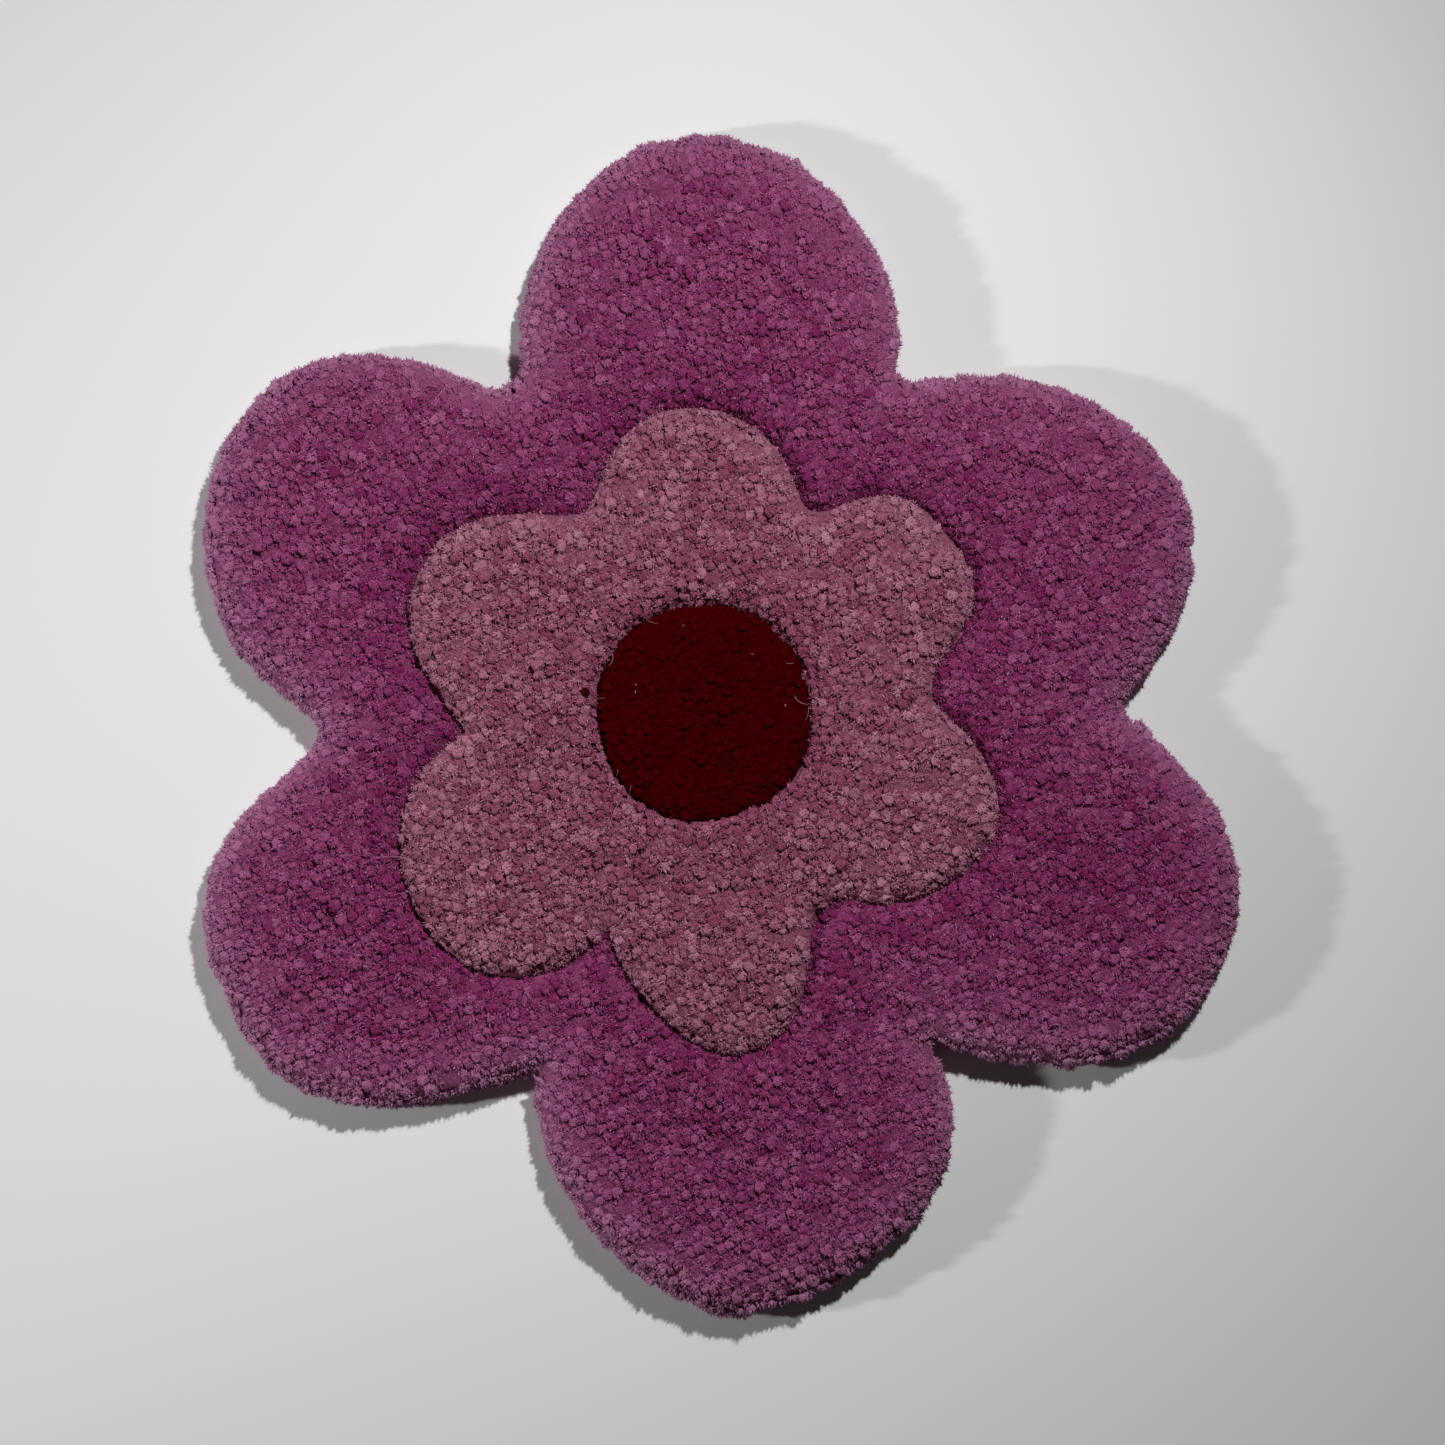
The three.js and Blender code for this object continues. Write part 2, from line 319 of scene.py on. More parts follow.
def spread_out(places, sizes, fixed_count):
    """Pushes crowded places apart, a little each round, all but the first fixed_count of them.
    Thick ends push farther than thin ones."""
    for _ in range(PUSH_ROUNDS):
        near = near_pairs(places, PITCH * PUSH_REACH)
        offset = places[:, None, :] - places[near]
        distance = np.linalg.norm(offset, axis=2)
        reach = PITCH * PACKING * (sizes[:, None] + sizes[near]) / 2
        is_close = (near >= 0) & (distance < reach) & (distance > TINY)
        pull = np.where(is_close, (reach - distance) / np.maximum(distance, TINY), 0)
        move = PUSH * (offset * pull[..., None]).sum(axis=1)
        move[:fixed_count] = 0
        places = places + np.clip(move, -PUSH_LIMIT, PUSH_LIMIT)
    return places


def hex_rows(middle, reach, heading):
    """A patch of staggered rows of places about a middle, turned to a heading, with a slow sway
    and a hand's unevenness."""
    count = int(reach / PITCH) + 2
    numbers = np.arange(-count, count + 1)
    row, column = np.meshgrid(numbers, numbers, indexing="ij")
    x = (column + 0.5 * (row % 2)).ravel() * PITCH
    y = row.ravel() * PITCH * ROW_SPACING
    y = y + SWAY * np.sin(x / SWAY_LENGTHS[0] + middle[0])
    x = x + SWAY * np.sin(y / SWAY_LENGTHS[1] + middle[1])
    turned = np.stack([
        x * math.cos(heading) - y * math.sin(heading),
        x * math.sin(heading) + y * math.cos(heading),
    ], axis=-1)
    return middle + turned + random.normal(0, ROW_SCATTER * PITCH, turned.shape)


def nearest_lobe(flower, places):
    """The number of the lobe whose middle line lies nearest in angle to each place."""
    angles = np.arctan2(places[:, 1], places[:, 0])
    lobe_angles = np.radians([lobe.angle for lobe in flower.lobes])
    apart = np.abs((angles[:, None] - lobe_angles + np.pi) % (2 * np.pi) - np.pi)
    return apart.argmin(axis=1)


# Where holes between ends are looked for: lines moved in from the edges, with every so many of
# the outline's points, and how far a place may lie from the nearest end, in pitches
HOLE_INSETS = (1.4, 2.8, 4.2, 5.6, 7.0)
HOLE_STEP = 2
HOLE_SIZE = 0.78
HOLE_BLOCKS = 12


def missing_ends(field, places, edge_inset):
    """Places for further ends where those along the edges leave a hole, mostly in the notches:
    one at a time, where the points beside the edges lie farthest from every end."""
    lines = []
    for outline, side in ((field.outer_edge, 1), (field.inner_edge, -1)):
        for inset in HOLE_INSETS if outline else ():
            lines.append((outline.points - outline.normals * inset * side)[::HOLE_STEP])
    grid = np.vstack(lines)
    is_inside = field.outer_edge.depth(grid)[0] > edge_inset
    if field.inner_edge:
        is_inside &= -field.inner_edge.depth(grid)[0] > HOLE_INSETS[0] / 2
    grid = grid[is_inside]
    squares = (places ** 2).sum(axis=1)
    farness = np.concatenate([
        (squares - 2 * part @ places.T).min(axis=1) + (part ** 2).sum(axis=1)
        for part in np.array_split(grid, HOLE_BLOCKS)
    ])
    found = []
    while farness.max() > (HOLE_SIZE * PITCH) ** 2:
        found.append(grid[farness.argmax()])
        farness = np.minimum(farness, ((grid - found[-1]) ** 2).sum(axis=1))
    return np.array(found).reshape(-1, 2)


# How the pile leans out towards an edge, in the rug's own field and in the inner ones, how much
# a rolled row's normal still points up, and how clear of the edge rows the other ends stay, in
# pitches
FIELD_LEAN = 5.0
INNER_LEAN = 2.5
LEAN_FADE = 14.0
ROLLED_RISE = 0.35
EDGE_CLEARANCE = 0.6

# How uneven it is: the scatter of the roots, of the shears and of the tips, the waver and scatter
# of the edge rows, and the height and lean of clumps, which fades over a margin at the edge. Some
# ends stand proud. Every head is sunk by as much as its locks of fibre stand up.
ROOT_SCATTER = 0.55
ROOT_DEPTH = 0.3
SHEAR_SCATTER = 0.4
TIP_SCATTER = 0.15
EDGE_WAVER = 0.5
EDGE_SCATTER = 0.4
CLUMP_HEIGHT = 0.3
CLUMP_LEAN = 0.45
CLUMP_MARGIN = 10
PROUD_SHARE = 0.03
PROUD_RISE = (0.4, 1.3)
HEAD_SINK = 1.3

# Painted light makes the splayed ends paler towards an edge, most of all on the side that faces
# away from the lit one; and how much deeper those beside the next colour's field look, each fading
# with the distance in millimetres. The rim's values are one for all sides and what the unlit side
# adds.
LIT_BEARING = math.radians(58)
LIT_SIDE = np.array([math.cos(LIT_BEARING), math.sin(LIT_BEARING)])
RIM_PAINTED_LIGHT = (0.8, 0.5)
RIM_LIGHT_FADE = (4.5, 4.0)
INNER_RIM_LIGHT = 0.3
GROOVE_DEEP = 0.3
GROOVE_DEEP_FADE = 22.0

# Painted shade on a patch of the lower right petal, where the pile lies the other way and looks deeper
SHADED_PATCH_PLACE = np.array([155, -61])
SHADED_PATCH_REACH = 28.0
SHADED_PATCH_DEEP = 0.22

# The ends of a field: tip, root, the carved surface's normal, the rug's petal, thickness, paleness
# (painted light on the rims, painted shade on one patch, a deeper tone beside the groove)
Tufts = namedtuple("Tufts", "tip root normal lobe size pale")


def edge_ends(field, outer_rows, inner_rows):
    """The tips, roots and heights of the ends in the rows along a field's edges. A height is nan
    where the carved surface gives it."""
    tips, roots, heights = [], [], []
    edges = ((field.outer_edge, outer_rows, 1), (field.inner_edge, inner_rows, -1))
    for outline, rows, side in edges:
        for row in rows:
            places = outline.row(side * row.tip, PITCH)
            _, normals = outline.depth(places)
            roots.append(places - normals * (row.root - row.tip) * side)
            waver = edge_waver(places) * EDGE_WAVER + random.normal(0, EDGE_SCATTER, len(places))
            tips.append(places + normals * waver[:, None])
            heights.append(np.full(len(places), row.height or np.nan))
    return np.vstack(tips), np.vstack(roots), np.concatenate(heights)


def fill_places(field, outer_rows, inner_rows):
    """Places in rows across each petal, clear of the rows along the field's edges."""
    patches = []
    for number, lobe in enumerate(field.outer_edge.flower.lobes):
        bearing = math.radians(lobe.angle)
        middle = lobe.distance * np.array([math.cos(bearing), math.sin(bearing)])
        places = hex_rows(middle, lobe.distance + lobe.half_length, bearing + math.radians(lobe.lean))
        patches.append(places[nearest_lobe(field.outer_edge.flower, places) == number])
    fill = np.vstack(patches)
    keep = field.outer_edge.depth(fill)[0] > outer_rows[-1].tip + EDGE_CLEARANCE * PITCH
    if field.inner_edge:
        keep &= -field.inner_edge.depth(fill)[0] > inner_rows[-1].tip + EDGE_CLEARANCE * PITCH
    return fill[keep]


def painted_light_and_deepening(field, tips):
    """How much paler the ends look than the field's middle: painted light on the rims. Below 0 they
    look deeper: painted shade on the lower right patch, and a deeper tone beside the groove.
    """
    depth, outward = field.outer_edge.depth(tips)
    if field.outer_edge is rug_outline:
        # Painted light: the rim is painted paler, more on the side away from the lit one.
        shade = (1 - outward @ LIT_SIDE) / 2
        fade = RIM_LIGHT_FADE[0] + RIM_LIGHT_FADE[1] * shade
        pale = (RIM_PAINTED_LIGHT[0] + RIM_PAINTED_LIGHT[1] * shade) * np.exp(-depth / fade)
        # Painted shade on the lower right patch.
        away = np.linalg.norm(tips - SHADED_PATCH_PLACE, axis=1)
        pale = pale - SHADED_PATCH_DEEP * np.exp(-(away / SHADED_PATCH_REACH) ** 2)
    else:
        # Painted light on the rims of the inner fields.
        pale = INNER_RIM_LIGHT * np.exp(-depth / RIM_LIGHT_FADE[0])
    if field.inner_edge:
        pale = pale - GROOVE_DEEP * np.exp(field.inner_edge.depth(tips)[0] / GROOVE_DEEP_FADE)
    return pale


def lay_tufts(field, outer_rows, inner_rows):
    """Lays a field's yarn ends: rows along its edges first, then rows across each petal, spread
    out evenly where they meet."""
    edge_tips, edge_roots, edge_heights = edge_ends(field, outer_rows, inner_rows)
    fill = fill_places(field, outer_rows, inner_rows)
    sizes = np.clip(random.normal(1, SIZE_SPREAD, len(edge_tips) + len(fill)), *SIZE_LIMITS)
    flat = spread_out(np.vstack([edge_tips, fill]), sizes, len(edge_tips))
    extra = missing_ends(field, flat, outer_rows[-1].tip)
    fill = np.vstack([flat[len(edge_tips):], extra])
    sizes = np.concatenate([sizes, np.ones(len(extra))])

    depth, normals = field.outer_edge.depth(fill)
    most_lean = FIELD_LEAN if field.outer_edge is rug_outline else INNER_LEAN
    fill_lean = most_lean * np.exp(-depth / LEAN_FADE)
    roots = np.vstack([edge_roots, fill - normals * fill_lean[:, None]])
    sway = np.stack([lean(fill) for lean in clump_lean], axis=-1) * CLUMP_LEAN
    tips = np.vstack([edge_tips, fill + sway * np.clip(depth / CLUMP_MARGIN, 0, 1)[:, None]])
    height = np.concatenate([edge_heights, np.full(len(fill), np.nan)])
    is_rolled = ~np.isnan(height)
    height = np.where(is_rolled, height + lumps(tips), carved_height(field, tips))
    outward = np.column_stack([field.outer_edge.depth(tips)[1], np.full(len(tips), ROLLED_RISE)])
    normal = np.where(is_rolled[:, None], outward, carved_normal(field, tips))
    normal /= np.linalg.norm(normal, axis=1, keepdims=True)

    count = len(tips)
    roots = roots + random.normal(0, ROOT_SCATTER, (count, 2))
    height = height - HEAD_SINK + random.normal(0, SHEAR_SCATTER, count)
    height = height + clump_height(tips) * CLUMP_HEIGHT
    proud = random.random(count) < PROUD_SHARE
    out = np.where(proud, random.uniform(*PROUD_RISE, count), 0) + random.normal(0, TIP_SCATTER, count)
    tip = np.column_stack([tips, height]) + normal * out[:, None]
    root = np.column_stack([roots, np.full(count, CLOTH_TOP - ROOT_DEPTH)])
    return Tufts(tip, root, normal, nearest_lobe(RUG, tips), sizes, painted_light_and_deepening(field, tips))


# The rings of a yarn end below its tip: how deep they lie and their share of its full radius,
# with the root's share, and how many more there are on a shaft that shows
TuftRing = namedtuple("TuftRing", "depth share")
HEAD_RINGS = (
    TuftRing(0.20, 0.65),
    TuftRing(0.80, 1.06),
)
ROOT_SHARE = 0.7
RIM_SHAFT_STEPS = 1

# The shape of an end: how far up its shaft bends, how deep the shears' slant reaches, how steeply
# a slant may rise, how uneven its rings are in radius and, down to a share of the cut, in height
BEND_SHARE = 0.62
CUT_DEPTH = 5
LEAST_LIFT = 0.45
HEAD_ROUGHNESS = 0.10
HEAD_UNEVENNESS = 0.6
UNEVEN_CUT = 0.6

# Which neighbours bound an end, by their distance in pitches, how squarely one must lie in a
# direction to bound it there, and the radius of an end that nothing bounds
NEIGHBOURS = (0.3, 2.2)
NEIGHBOUR_CELL = 1.9
LEAST_TOWARDS = 0.05
UNBOUNDED = 9.0


def bezier(start, bend, end, share):
    """A point on the quadratic curve from start by bend to end, and its direction there."""
    share = share[..., None]
    point = (1 - share) ** 2 * start + 2 * share * (1 - share) * bend + share ** 2 * end
    way = 2 * (1 - share) * (bend - start) + 2 * share * (end - bend)
    return point, way / np.linalg.norm(way, axis=-1, keepdims=True)


def cross_frame(way):
    """Two unit vectors square to each direction and to each other."""
    helper = np.zeros_like(way)
    helper[..., 0] = 1
    first = np.cross(way, helper)
    first /= np.linalg.norm(first, axis=-1, keepdims=True)
    return first, np.cross(way, first)


def bend_point(tip, root):
    """The point that bends an end's shaft: straight above the root, part of the way up."""
    return root + np.array([0, 0, 1]) * ((tip - root)[:, 2:] * BEND_SHARE)


def packed_radii(tip, sizes, first, second, spin):
    """How wide each yarn end is in each of its directions: out to halfway to its neighbours, as
    far as the yarn can bloom, with the two limits rounded into each other."""
    near = near_pairs(tip[:, :2], PITCH * NEIGHBOUR_CELL)
    offset = tip[near] - tip[:, None, :]
    u = (offset * first[:, None, :]).sum(axis=2)
    v = (offset * second[:, None, :]).sum(axis=2)
    apart = u ** 2 + v ** 2
    least, most = NEIGHBOURS
    is_near = (near >= 0) & (apart > (least * PITCH) ** 2) & (apart < (most * PITCH) ** 2)
    bounds = np.full((len(tip), TUFT_SIDES), UNBOUNDED)
    for side in range(TUFT_SIDES):
        angle = spin + 2 * np.pi * side / TUFT_SIDES
        towards = u * np.cos(angle)[:, None] + v * np.sin(angle)[:, None]
        halfway = apart / 2 / np.maximum(towards, LEAST_TOWARDS)
        halfway = np.where(is_near & (towards > LEAST_TOWARDS), halfway, UNBOUNDED)
        bounds[:, side] = halfway.min(axis=1)
    limit = MOST_RADIUS * sizes[:, None]
    return ((bounds - TIP_GAP) ** -ROUNDING + limit ** -ROUNDING) ** (-1 / ROUNDING)


def tuft_arrays(tufts, radii, parts, shaft_steps):
    """The vertices and faces of many yarn ends, their places in the fibre pattern, and how deep
    below the tip each ring lies.

    Each end is a stack of rings along its curve, from the root to the tip. A ring's radius is the
    packed radius times the ring's share, its plane is square to the curve, and near the tip it is
    sheared to lie along the carved surface.
    """
    first, second, spin = parts
    count = len(tufts.tip)
    length = np.linalg.norm(tufts.tip - tufts.root, axis=1)
    bend = bend_point(tufts.tip, tufts.root)
    head = [1 - ring.depth / length for ring in HEAD_RINGS]
    steps = [np.full(count, 0.0)]
    shares = [ROOT_SHARE]
    for step in range(shaft_steps):
        part = (step + 1) / (shaft_steps + 1)
        steps.append(head[-1] * part)
        shares.append(ROOT_SHARE + (HEAD_RINGS[-1].share - ROOT_SHARE) * part)
    steps += head[::-1]
    shares += [ring.share for ring in HEAD_RINGS[::-1]]
    share = np.clip(np.stack(steps, axis=1), 0, 1)
    centre, way = bezier(tufts.root[:, None], bend[:, None], tufts.tip[:, None], share)
    lift = np.maximum((tufts.normal * way[:, -1]).sum(axis=1), LEAST_LIFT)
    slant_u = -(tufts.normal * first).sum(axis=1) / lift
    slant_v = -(tufts.normal * second).sum(axis=1) / lift
    angle = spin[:, None] + 2 * np.pi * np.arange(TUFT_SIDES) / TUFT_SIDES
    rings = len(shares)
    rough = random.normal(0, 1, (count, rings, TUFT_SIDES))
    radius = radii[:, None, :] * np.array(shares)[None, :, None] * (1 + HEAD_ROUGHNESS * rough)
    local_u = radius * np.cos(angle)[:, None, :]
    local_v = radius * np.sin(angle)[:, None, :]
    depth = length[:, None] * (1 - share)
    cut = np.clip(1 - depth / CUT_DEPTH, 0, 1)[..., None]
    bumpy = random.normal(0, HEAD_UNEVENNESS, (count, rings, TUFT_SIDES)) * (cut > UNEVEN_CUT)
    slide = cut * (local_u * slant_u[:, None, None] + local_v * slant_v[:, None, None]) + bumpy
    ring_first, ring_second = cross_frame(way)
    places = (
        centre[:, :, None, :]
        + local_u[..., None] * ring_first[:, :, None, :]
        + local_v[..., None] * ring_second[:, :, None, :]
        + slide[..., None] * way[:, :, None, :]
    )
    size = rings * TUFT_SIDES
    vertices = np.concatenate([places.reshape(count, size, 3), tufts.tip[:, None, :]], axis=1)
    down = np.broadcast_to(depth[..., None], local_u.shape)
    local = np.stack([local_u, local_v, down], axis=-1)
    strand = np.concatenate([local.reshape(count, size, 3), np.zeros((count, 1, 3))], axis=1)
    offsets = np.arange(count)[:, None, None] * (size + 1)
    return vertices.reshape(-1, 3), (tuft_faces(rings)[None] + offsets).reshape(-1, 3), strand, depth


def strip(low, high, sides):
    """The triangles between two closed rings of vertices, numbered from low and from high."""
    side = np.arange(sides)
    after = (side + 1) % sides
    return [
        np.stack([low + side, low + after, high + after], axis=1),
        np.stack([low + side, high + after, high + side], axis=1),
    ]


def tuft_faces(rings):
    """The triangles of one yarn end: strips between its rings, a fan at the tip, a flat root."""
    faces = []
    for ring in range(rings - 1):
        faces += strip(ring * TUFT_SIDES, (ring + 1) * TUFT_SIDES, TUFT_SIDES)
    side = np.arange(TUFT_SIDES)
    top = (rings - 1) * TUFT_SIDES
    tip = np.full(TUFT_SIDES, rings * TUFT_SIDES)
    faces.append(np.stack([top + side, top + (side + 1) % TUFT_SIDES, tip], axis=1))
    inner = np.arange(1, TUFT_SIDES - 1)
    faces.append(np.stack([np.zeros(len(inner), int), inner + 1, inner], axis=1))
    return np.vstack(faces)


def new_mesh(name, vertices, faces, material):
    """A piece from arrays of vertices in millimetres and triangles, smooth, at the origin."""
    mesh = bpy.data.meshes.new(name)
    mesh.vertices.add(len(vertices))
    mesh.vertices.foreach_set("co", (vertices * MM).astype(np.float32).ravel())
    mesh.loops.add(faces.size)
    mesh.loops.foreach_set("vertex_index", faces.astype(np.int32).ravel())
    mesh.polygons.add(len(faces))
    mesh.polygons.foreach_set("loop_start", np.arange(0, faces.size, 3, dtype=np.int32))
    mesh.polygons.foreach_set("use_smooth", np.ones(len(faces), bool))
    mesh.update(calc_edges=True)
    mesh.materials.append(material)
    piece = bpy.data.objects.new(name, mesh)
    bpy.context.scene.collection.objects.link(piece)
    return piece


def add_attribute(piece, name, values):
    """Stores three numbers a vertex for the material to read."""
    attribute = piece.data.attributes.new(name, "FLOAT_VECTOR", "POINT")
    attribute.data.foreach_set("vector", values.astype(np.float32).ravel())


def yarn_piece(name, parts, material):
    """One piece from parts, each with its vertices, faces and two attributes.

    The strand attribute is a vertex's place in the fibre pattern. The yarn attribute is the tone,
    the depth below the tip, or SPIKE_MARK on a spike or hair, and the paleness: painted light and
    shade on the ends and beds, a deeper tone beside the groove, and the hairs' own paleness.
    """
    vertices, faces, strands, yarns = zip(*parts)
    starts = np.cumsum([0] + [len(places) for places in vertices])
    faces = [triangles + start for triangles, start in zip(faces, starts)]
    piece = new_mesh(name, np.vstack(vertices), np.vstack(faces), material)
    add_attribute(piece, "strand", np.vstack(strands))
    add_attribute(piece, "yarn", np.vstack(yarns))
    return piece


# What stands out of each yarn end: short thick locks of fibre that cover its head, and fine loose
# fibres towards its side. How many, how far they reach out of the head, how thick they are at
# their foot, how far they lean, where on the head they stand and how unlike in tone they are.
# The crimson has its own shorter ones. More stand along the rug's rim and beside the groove.
Spikes = namedtuple("Spikes", "count length width lean share tone")
LOCKS = Spikes(9, (0.8, 1.7), (0.45, 0.68), (15, 70), (0.1, 1.02), 3.0)
WISPS = Spikes(8, (1.0, 2.2), (0.20, 0.32), (40, 85), (0.5, 1.0), 3.0)
SHORT_LOCKS = Spikes(5, (0.4, 0.9), (0.5, 0.8), (15, 60), (0.1, 0.95), 1.0)
SHORT_WISPS = Spikes(3, (0.6, 1.6), (0.12, 0.20), (20, 75), (0.3, 1.0), 2.0)
RIM_WISPS = Spikes(6, (1.2, 2.6), (0.09, 0.14), (0, 80), (0.2, 1.0), 1.0)
GROOVE_WISPS = Spikes(5, (1.6, 3.4), (0.12, 0.20), (50, 88), (0.6, 1.0), 2.0)
RIM_REACH = 3.0
GROOVE_REACH = 3.2

# How deep in the head a spike starts and how far the head is domed, how unevenly the spikes stand
# and point round it, the share of the lean that a spike at the middle has, the gap to the floor,
# and the turn from each spike to the next
SPIKE_START = 0.5
HEAD_DOME = 1.2
SPIKE_SCATTER = 0.3
SPIKE_TURN = 0.8
MIDDLE_LEAN = 0.3
FLOOR_GAP = 0.1
GOLDEN_TURN = 2.39996

# How much the slow changes of tone count beside an end's own, how far apart the ends' places in
# the fibre pattern lie, and the depth that marks a spike in the yarn attribute
CLUMP_TONE = 0.35
PATTERN_SPREAD = 900
SPIKE_MARK = -1.0

# A spike's corners, three round its foot and then its point, and its faces
SPIKE_CORNERS = 4
SPIKE_FACES = np.array([(0, 1, 3), (1, 2, 3), (2, 0, 3), (0, 2, 1)])


def spike_arrays(spikes, tufts, radii, way, parts):
    """Three-sided spikes out of each yarn end: their vertices and faces.

    A spike starts on the domed head at a share of its radius, below the surface by HEAD_DOME
    times the share cubed, and leans outwards by its own angle from the yarn's way, the more the
    farther out it stands. The spikes of one end are spread round it by golden turns, with their
    shares of the radius evenly filled. One that would reach the floor is lifted off it.
    """
    first, second, spin = parts
    count = len(tufts.tip)
    shape = (count, spikes.count)
    even = (np.arange(spikes.count) + random.uniform(0, 1, shape)) / spikes.count
    low, high = np.square(spikes.share)
    share = np.sqrt(low + (high - low) * even)
    turns = np.arange(spikes.count) * GOLDEN_TURN + random.normal(0, SPIKE_SCATTER, shape)
    side = np.round(turns / (2 * np.pi / TUFT_SIDES)).astype(int) % TUFT_SIDES
    angle = spin[:, None] + turns
    radius = np.take_along_axis(radii, side, axis=1) * share
    out = first[:, None] * np.cos(angle)[..., None] + second[:, None] * np.sin(angle)[..., None]
    deep = HEAD_DOME * share ** 3 + SPIKE_START
    lift = np.maximum((tufts.normal * way).sum(axis=1), LEAST_LIFT)
    slant = -(out * tufts.normal[:, None]).sum(axis=2) / lift[:, None] * radius
    start = tufts.tip[:, None] + out * radius[..., None] + way[:, None] * (slant - deep)[..., None]
    turn = angle + random.normal(0, SPIKE_TURN, shape)
    lean = np.radians(random.uniform(*spikes.lean, shape)) * (MIDDLE_LEAN + (1 - MIDDLE_LEAN) * share)
    aside = first[:, None] * np.cos(turn)[..., None] + second[:, None] * np.sin(turn)[..., None]
    heading = way[:, None] * np.cos(lean)[..., None] + aside * np.sin(lean)[..., None]
    length = random.uniform(*spikes.length, shape) + SPIKE_START
    width = random.uniform(*spikes.width, shape)
    base_first, base_second = cross_frame(heading)
    roll = random.uniform(0, 2 * np.pi, shape)
    corners = []
    for corner in range(SPIKE_CORNERS - 1):
        around = (roll + 2 * np.pi * corner / (SPIKE_CORNERS - 1))[..., None]
        arm = base_first * np.cos(around) + base_second * np.sin(around)
        corners.append(start + arm * width[..., None])
    corners.append(start + heading * length[..., None])
    vertices = np.stack(corners, axis=2)
    lowest = vertices[..., 2].min(axis=2, keepdims=True)
    vertices[..., 2] += np.maximum(FLOOR_GAP - lowest, 0)
    offsets = np.arange(count * spikes.count)[:, None, None] * SPIKE_CORNERS
    return vertices.reshape(-1, 3), (SPIKE_FACES + offsets).reshape(-1, 3)


def chosen_tufts(chosen, tufts, parts):
    """The chosen ends, and their frames and spins."""
    return Tufts(*(part[chosen] for part in tufts)), tuple(part[chosen] for part in parts)


def head_part(tufts, radii, parts, tones, shaft_steps):
    """The heads and shafts of many yarn ends, as a part of a piece."""
    places, triangles, strand, depth = tuft_arrays(tufts, radii, parts, shaft_steps)
    places[:, 2] = np.maximum(places[:, 2], FLOOR_GAP)
    count = len(tones)
    strand[..., 2] += random.uniform(0, PATTERN_SPREAD, (count, 1))
    down = np.repeat(depth, TUFT_SIDES, axis=1)
    down = np.concatenate([down, np.zeros((count, 1))], axis=1)
    tone = np.broadcast_to(tones[:, None], down.shape)
    pale = np.broadcast_to(tufts.pale[:, None], down.shape)
    yarn = np.stack([tone, down, pale], axis=-1)
    return places, triangles, strand.reshape(-1, 3), yarn.reshape(-1, 3)


def spike_part(spikes, tufts, radii, way, parts, tones):
    """The spikes of one kind out of many yarn ends, as a part of a piece."""
    places, triangles = spike_arrays(spikes, tufts, radii, way, parts)
    count = len(tones) * spikes.count
    own = (random.exponential(1, count) - 1) * spikes.tone
    tone = np.repeat(tones, spikes.count) + own
    pattern = random.uniform(0, PATTERN_SPREAD, (count, 3))
    yarn = np.column_stack([
        np.repeat(tone, SPIKE_CORNERS), np.full(len(places), SPIKE_MARK),
        np.repeat(tufts.pale, spikes.count * SPIKE_CORNERS),
    ])
    return places, triangles, np.repeat(pattern, SPIKE_CORNERS, axis=0), yarn


def tuft_piece(name, tufts, radii, parts, way, material, rim_depth, spike_kinds):
    """One piece of many yarn ends. Ends near the rug's rim, whose sides show, get more rings, and
    they and those beside the groove get more loose fibres."""
    pieces = []
    tones = random.normal(0, 1, len(tufts.tip)) + clump_tone(tufts.tip[:, :2]) * CLUMP_TONE
    is_rim = rim_depth < RIM_REACH
    for chosen, steps in ((~is_rim, 0), (is_rim, RIM_SHAFT_STEPS)):
        if chosen.any():
            some, some_parts = chosen_tufts(chosen, tufts, parts)
            pieces.append(head_part(some, radii[chosen], some_parts, tones[chosen], steps))
    everywhere = np.ones(len(tones), bool)
    is_beside = np.abs(inner_outline.depth(tufts.tip[:, :2])[0]) < GROOVE_REACH
    kinds = [(kind, everywhere) for kind in spike_kinds]
    for spikes, chosen in kinds + [(RIM_WISPS, is_rim), (GROOVE_WISPS, is_beside)]:
        if chosen.any():
            some, some_parts = chosen_tufts(chosen, tufts, parts)
            pieces.append(spike_part(
                spikes, some, radii[chosen], way[chosen], some_parts, tones[chosen],
            ))
    return yarn_piece(name, pieces, material)


# The colour sockets of a mix node, which has others for numbers and vectors, and its result
MIX_COLORS = (6, 7)
MIX_RESULT = 2


def node(tree, kind, place, **values):
    """A node of a kind at a place in a tree. Values set its properties, or its inputs by name."""
    made = tree.nodes.new(kind)
    made.location = place
    for key, value in values.items():
        if hasattr(made, key):
            setattr(made, key, value)
        else:
            made.inputs[key.replace("_", " ")].default_value = value
    return made


def feed(tree, sockets, values):
    """Gives each socket its value, or links it where the value is another node's output."""
    for socket, value in zip(sockets, values):
        if isinstance(value, bpy.types.NodeSocket):
            tree.links.new(value, socket)
        else:
            socket.default_value = value


def add_math(tree, place, operation, first, second, use_clamp=False):
    """The output of a math node on two numbers or outputs."""
    made = node(tree, "ShaderNodeMath", place, operation=operation, use_clamp=use_clamp)
    feed(tree, made.inputs, (first, second))
    return made.outputs[0]


def add_range(tree, place, value, old, new):
    """The output of a node that takes the old range of an output's values to a new one."""
    made = node(tree, "ShaderNodeMapRange", place)
    names = ("Value", "From Min", "From Max", "To Min", "To Max")
    feed(tree, [made.inputs[name] for name in names], (value, *old, *new))
    return made.outputs[0]


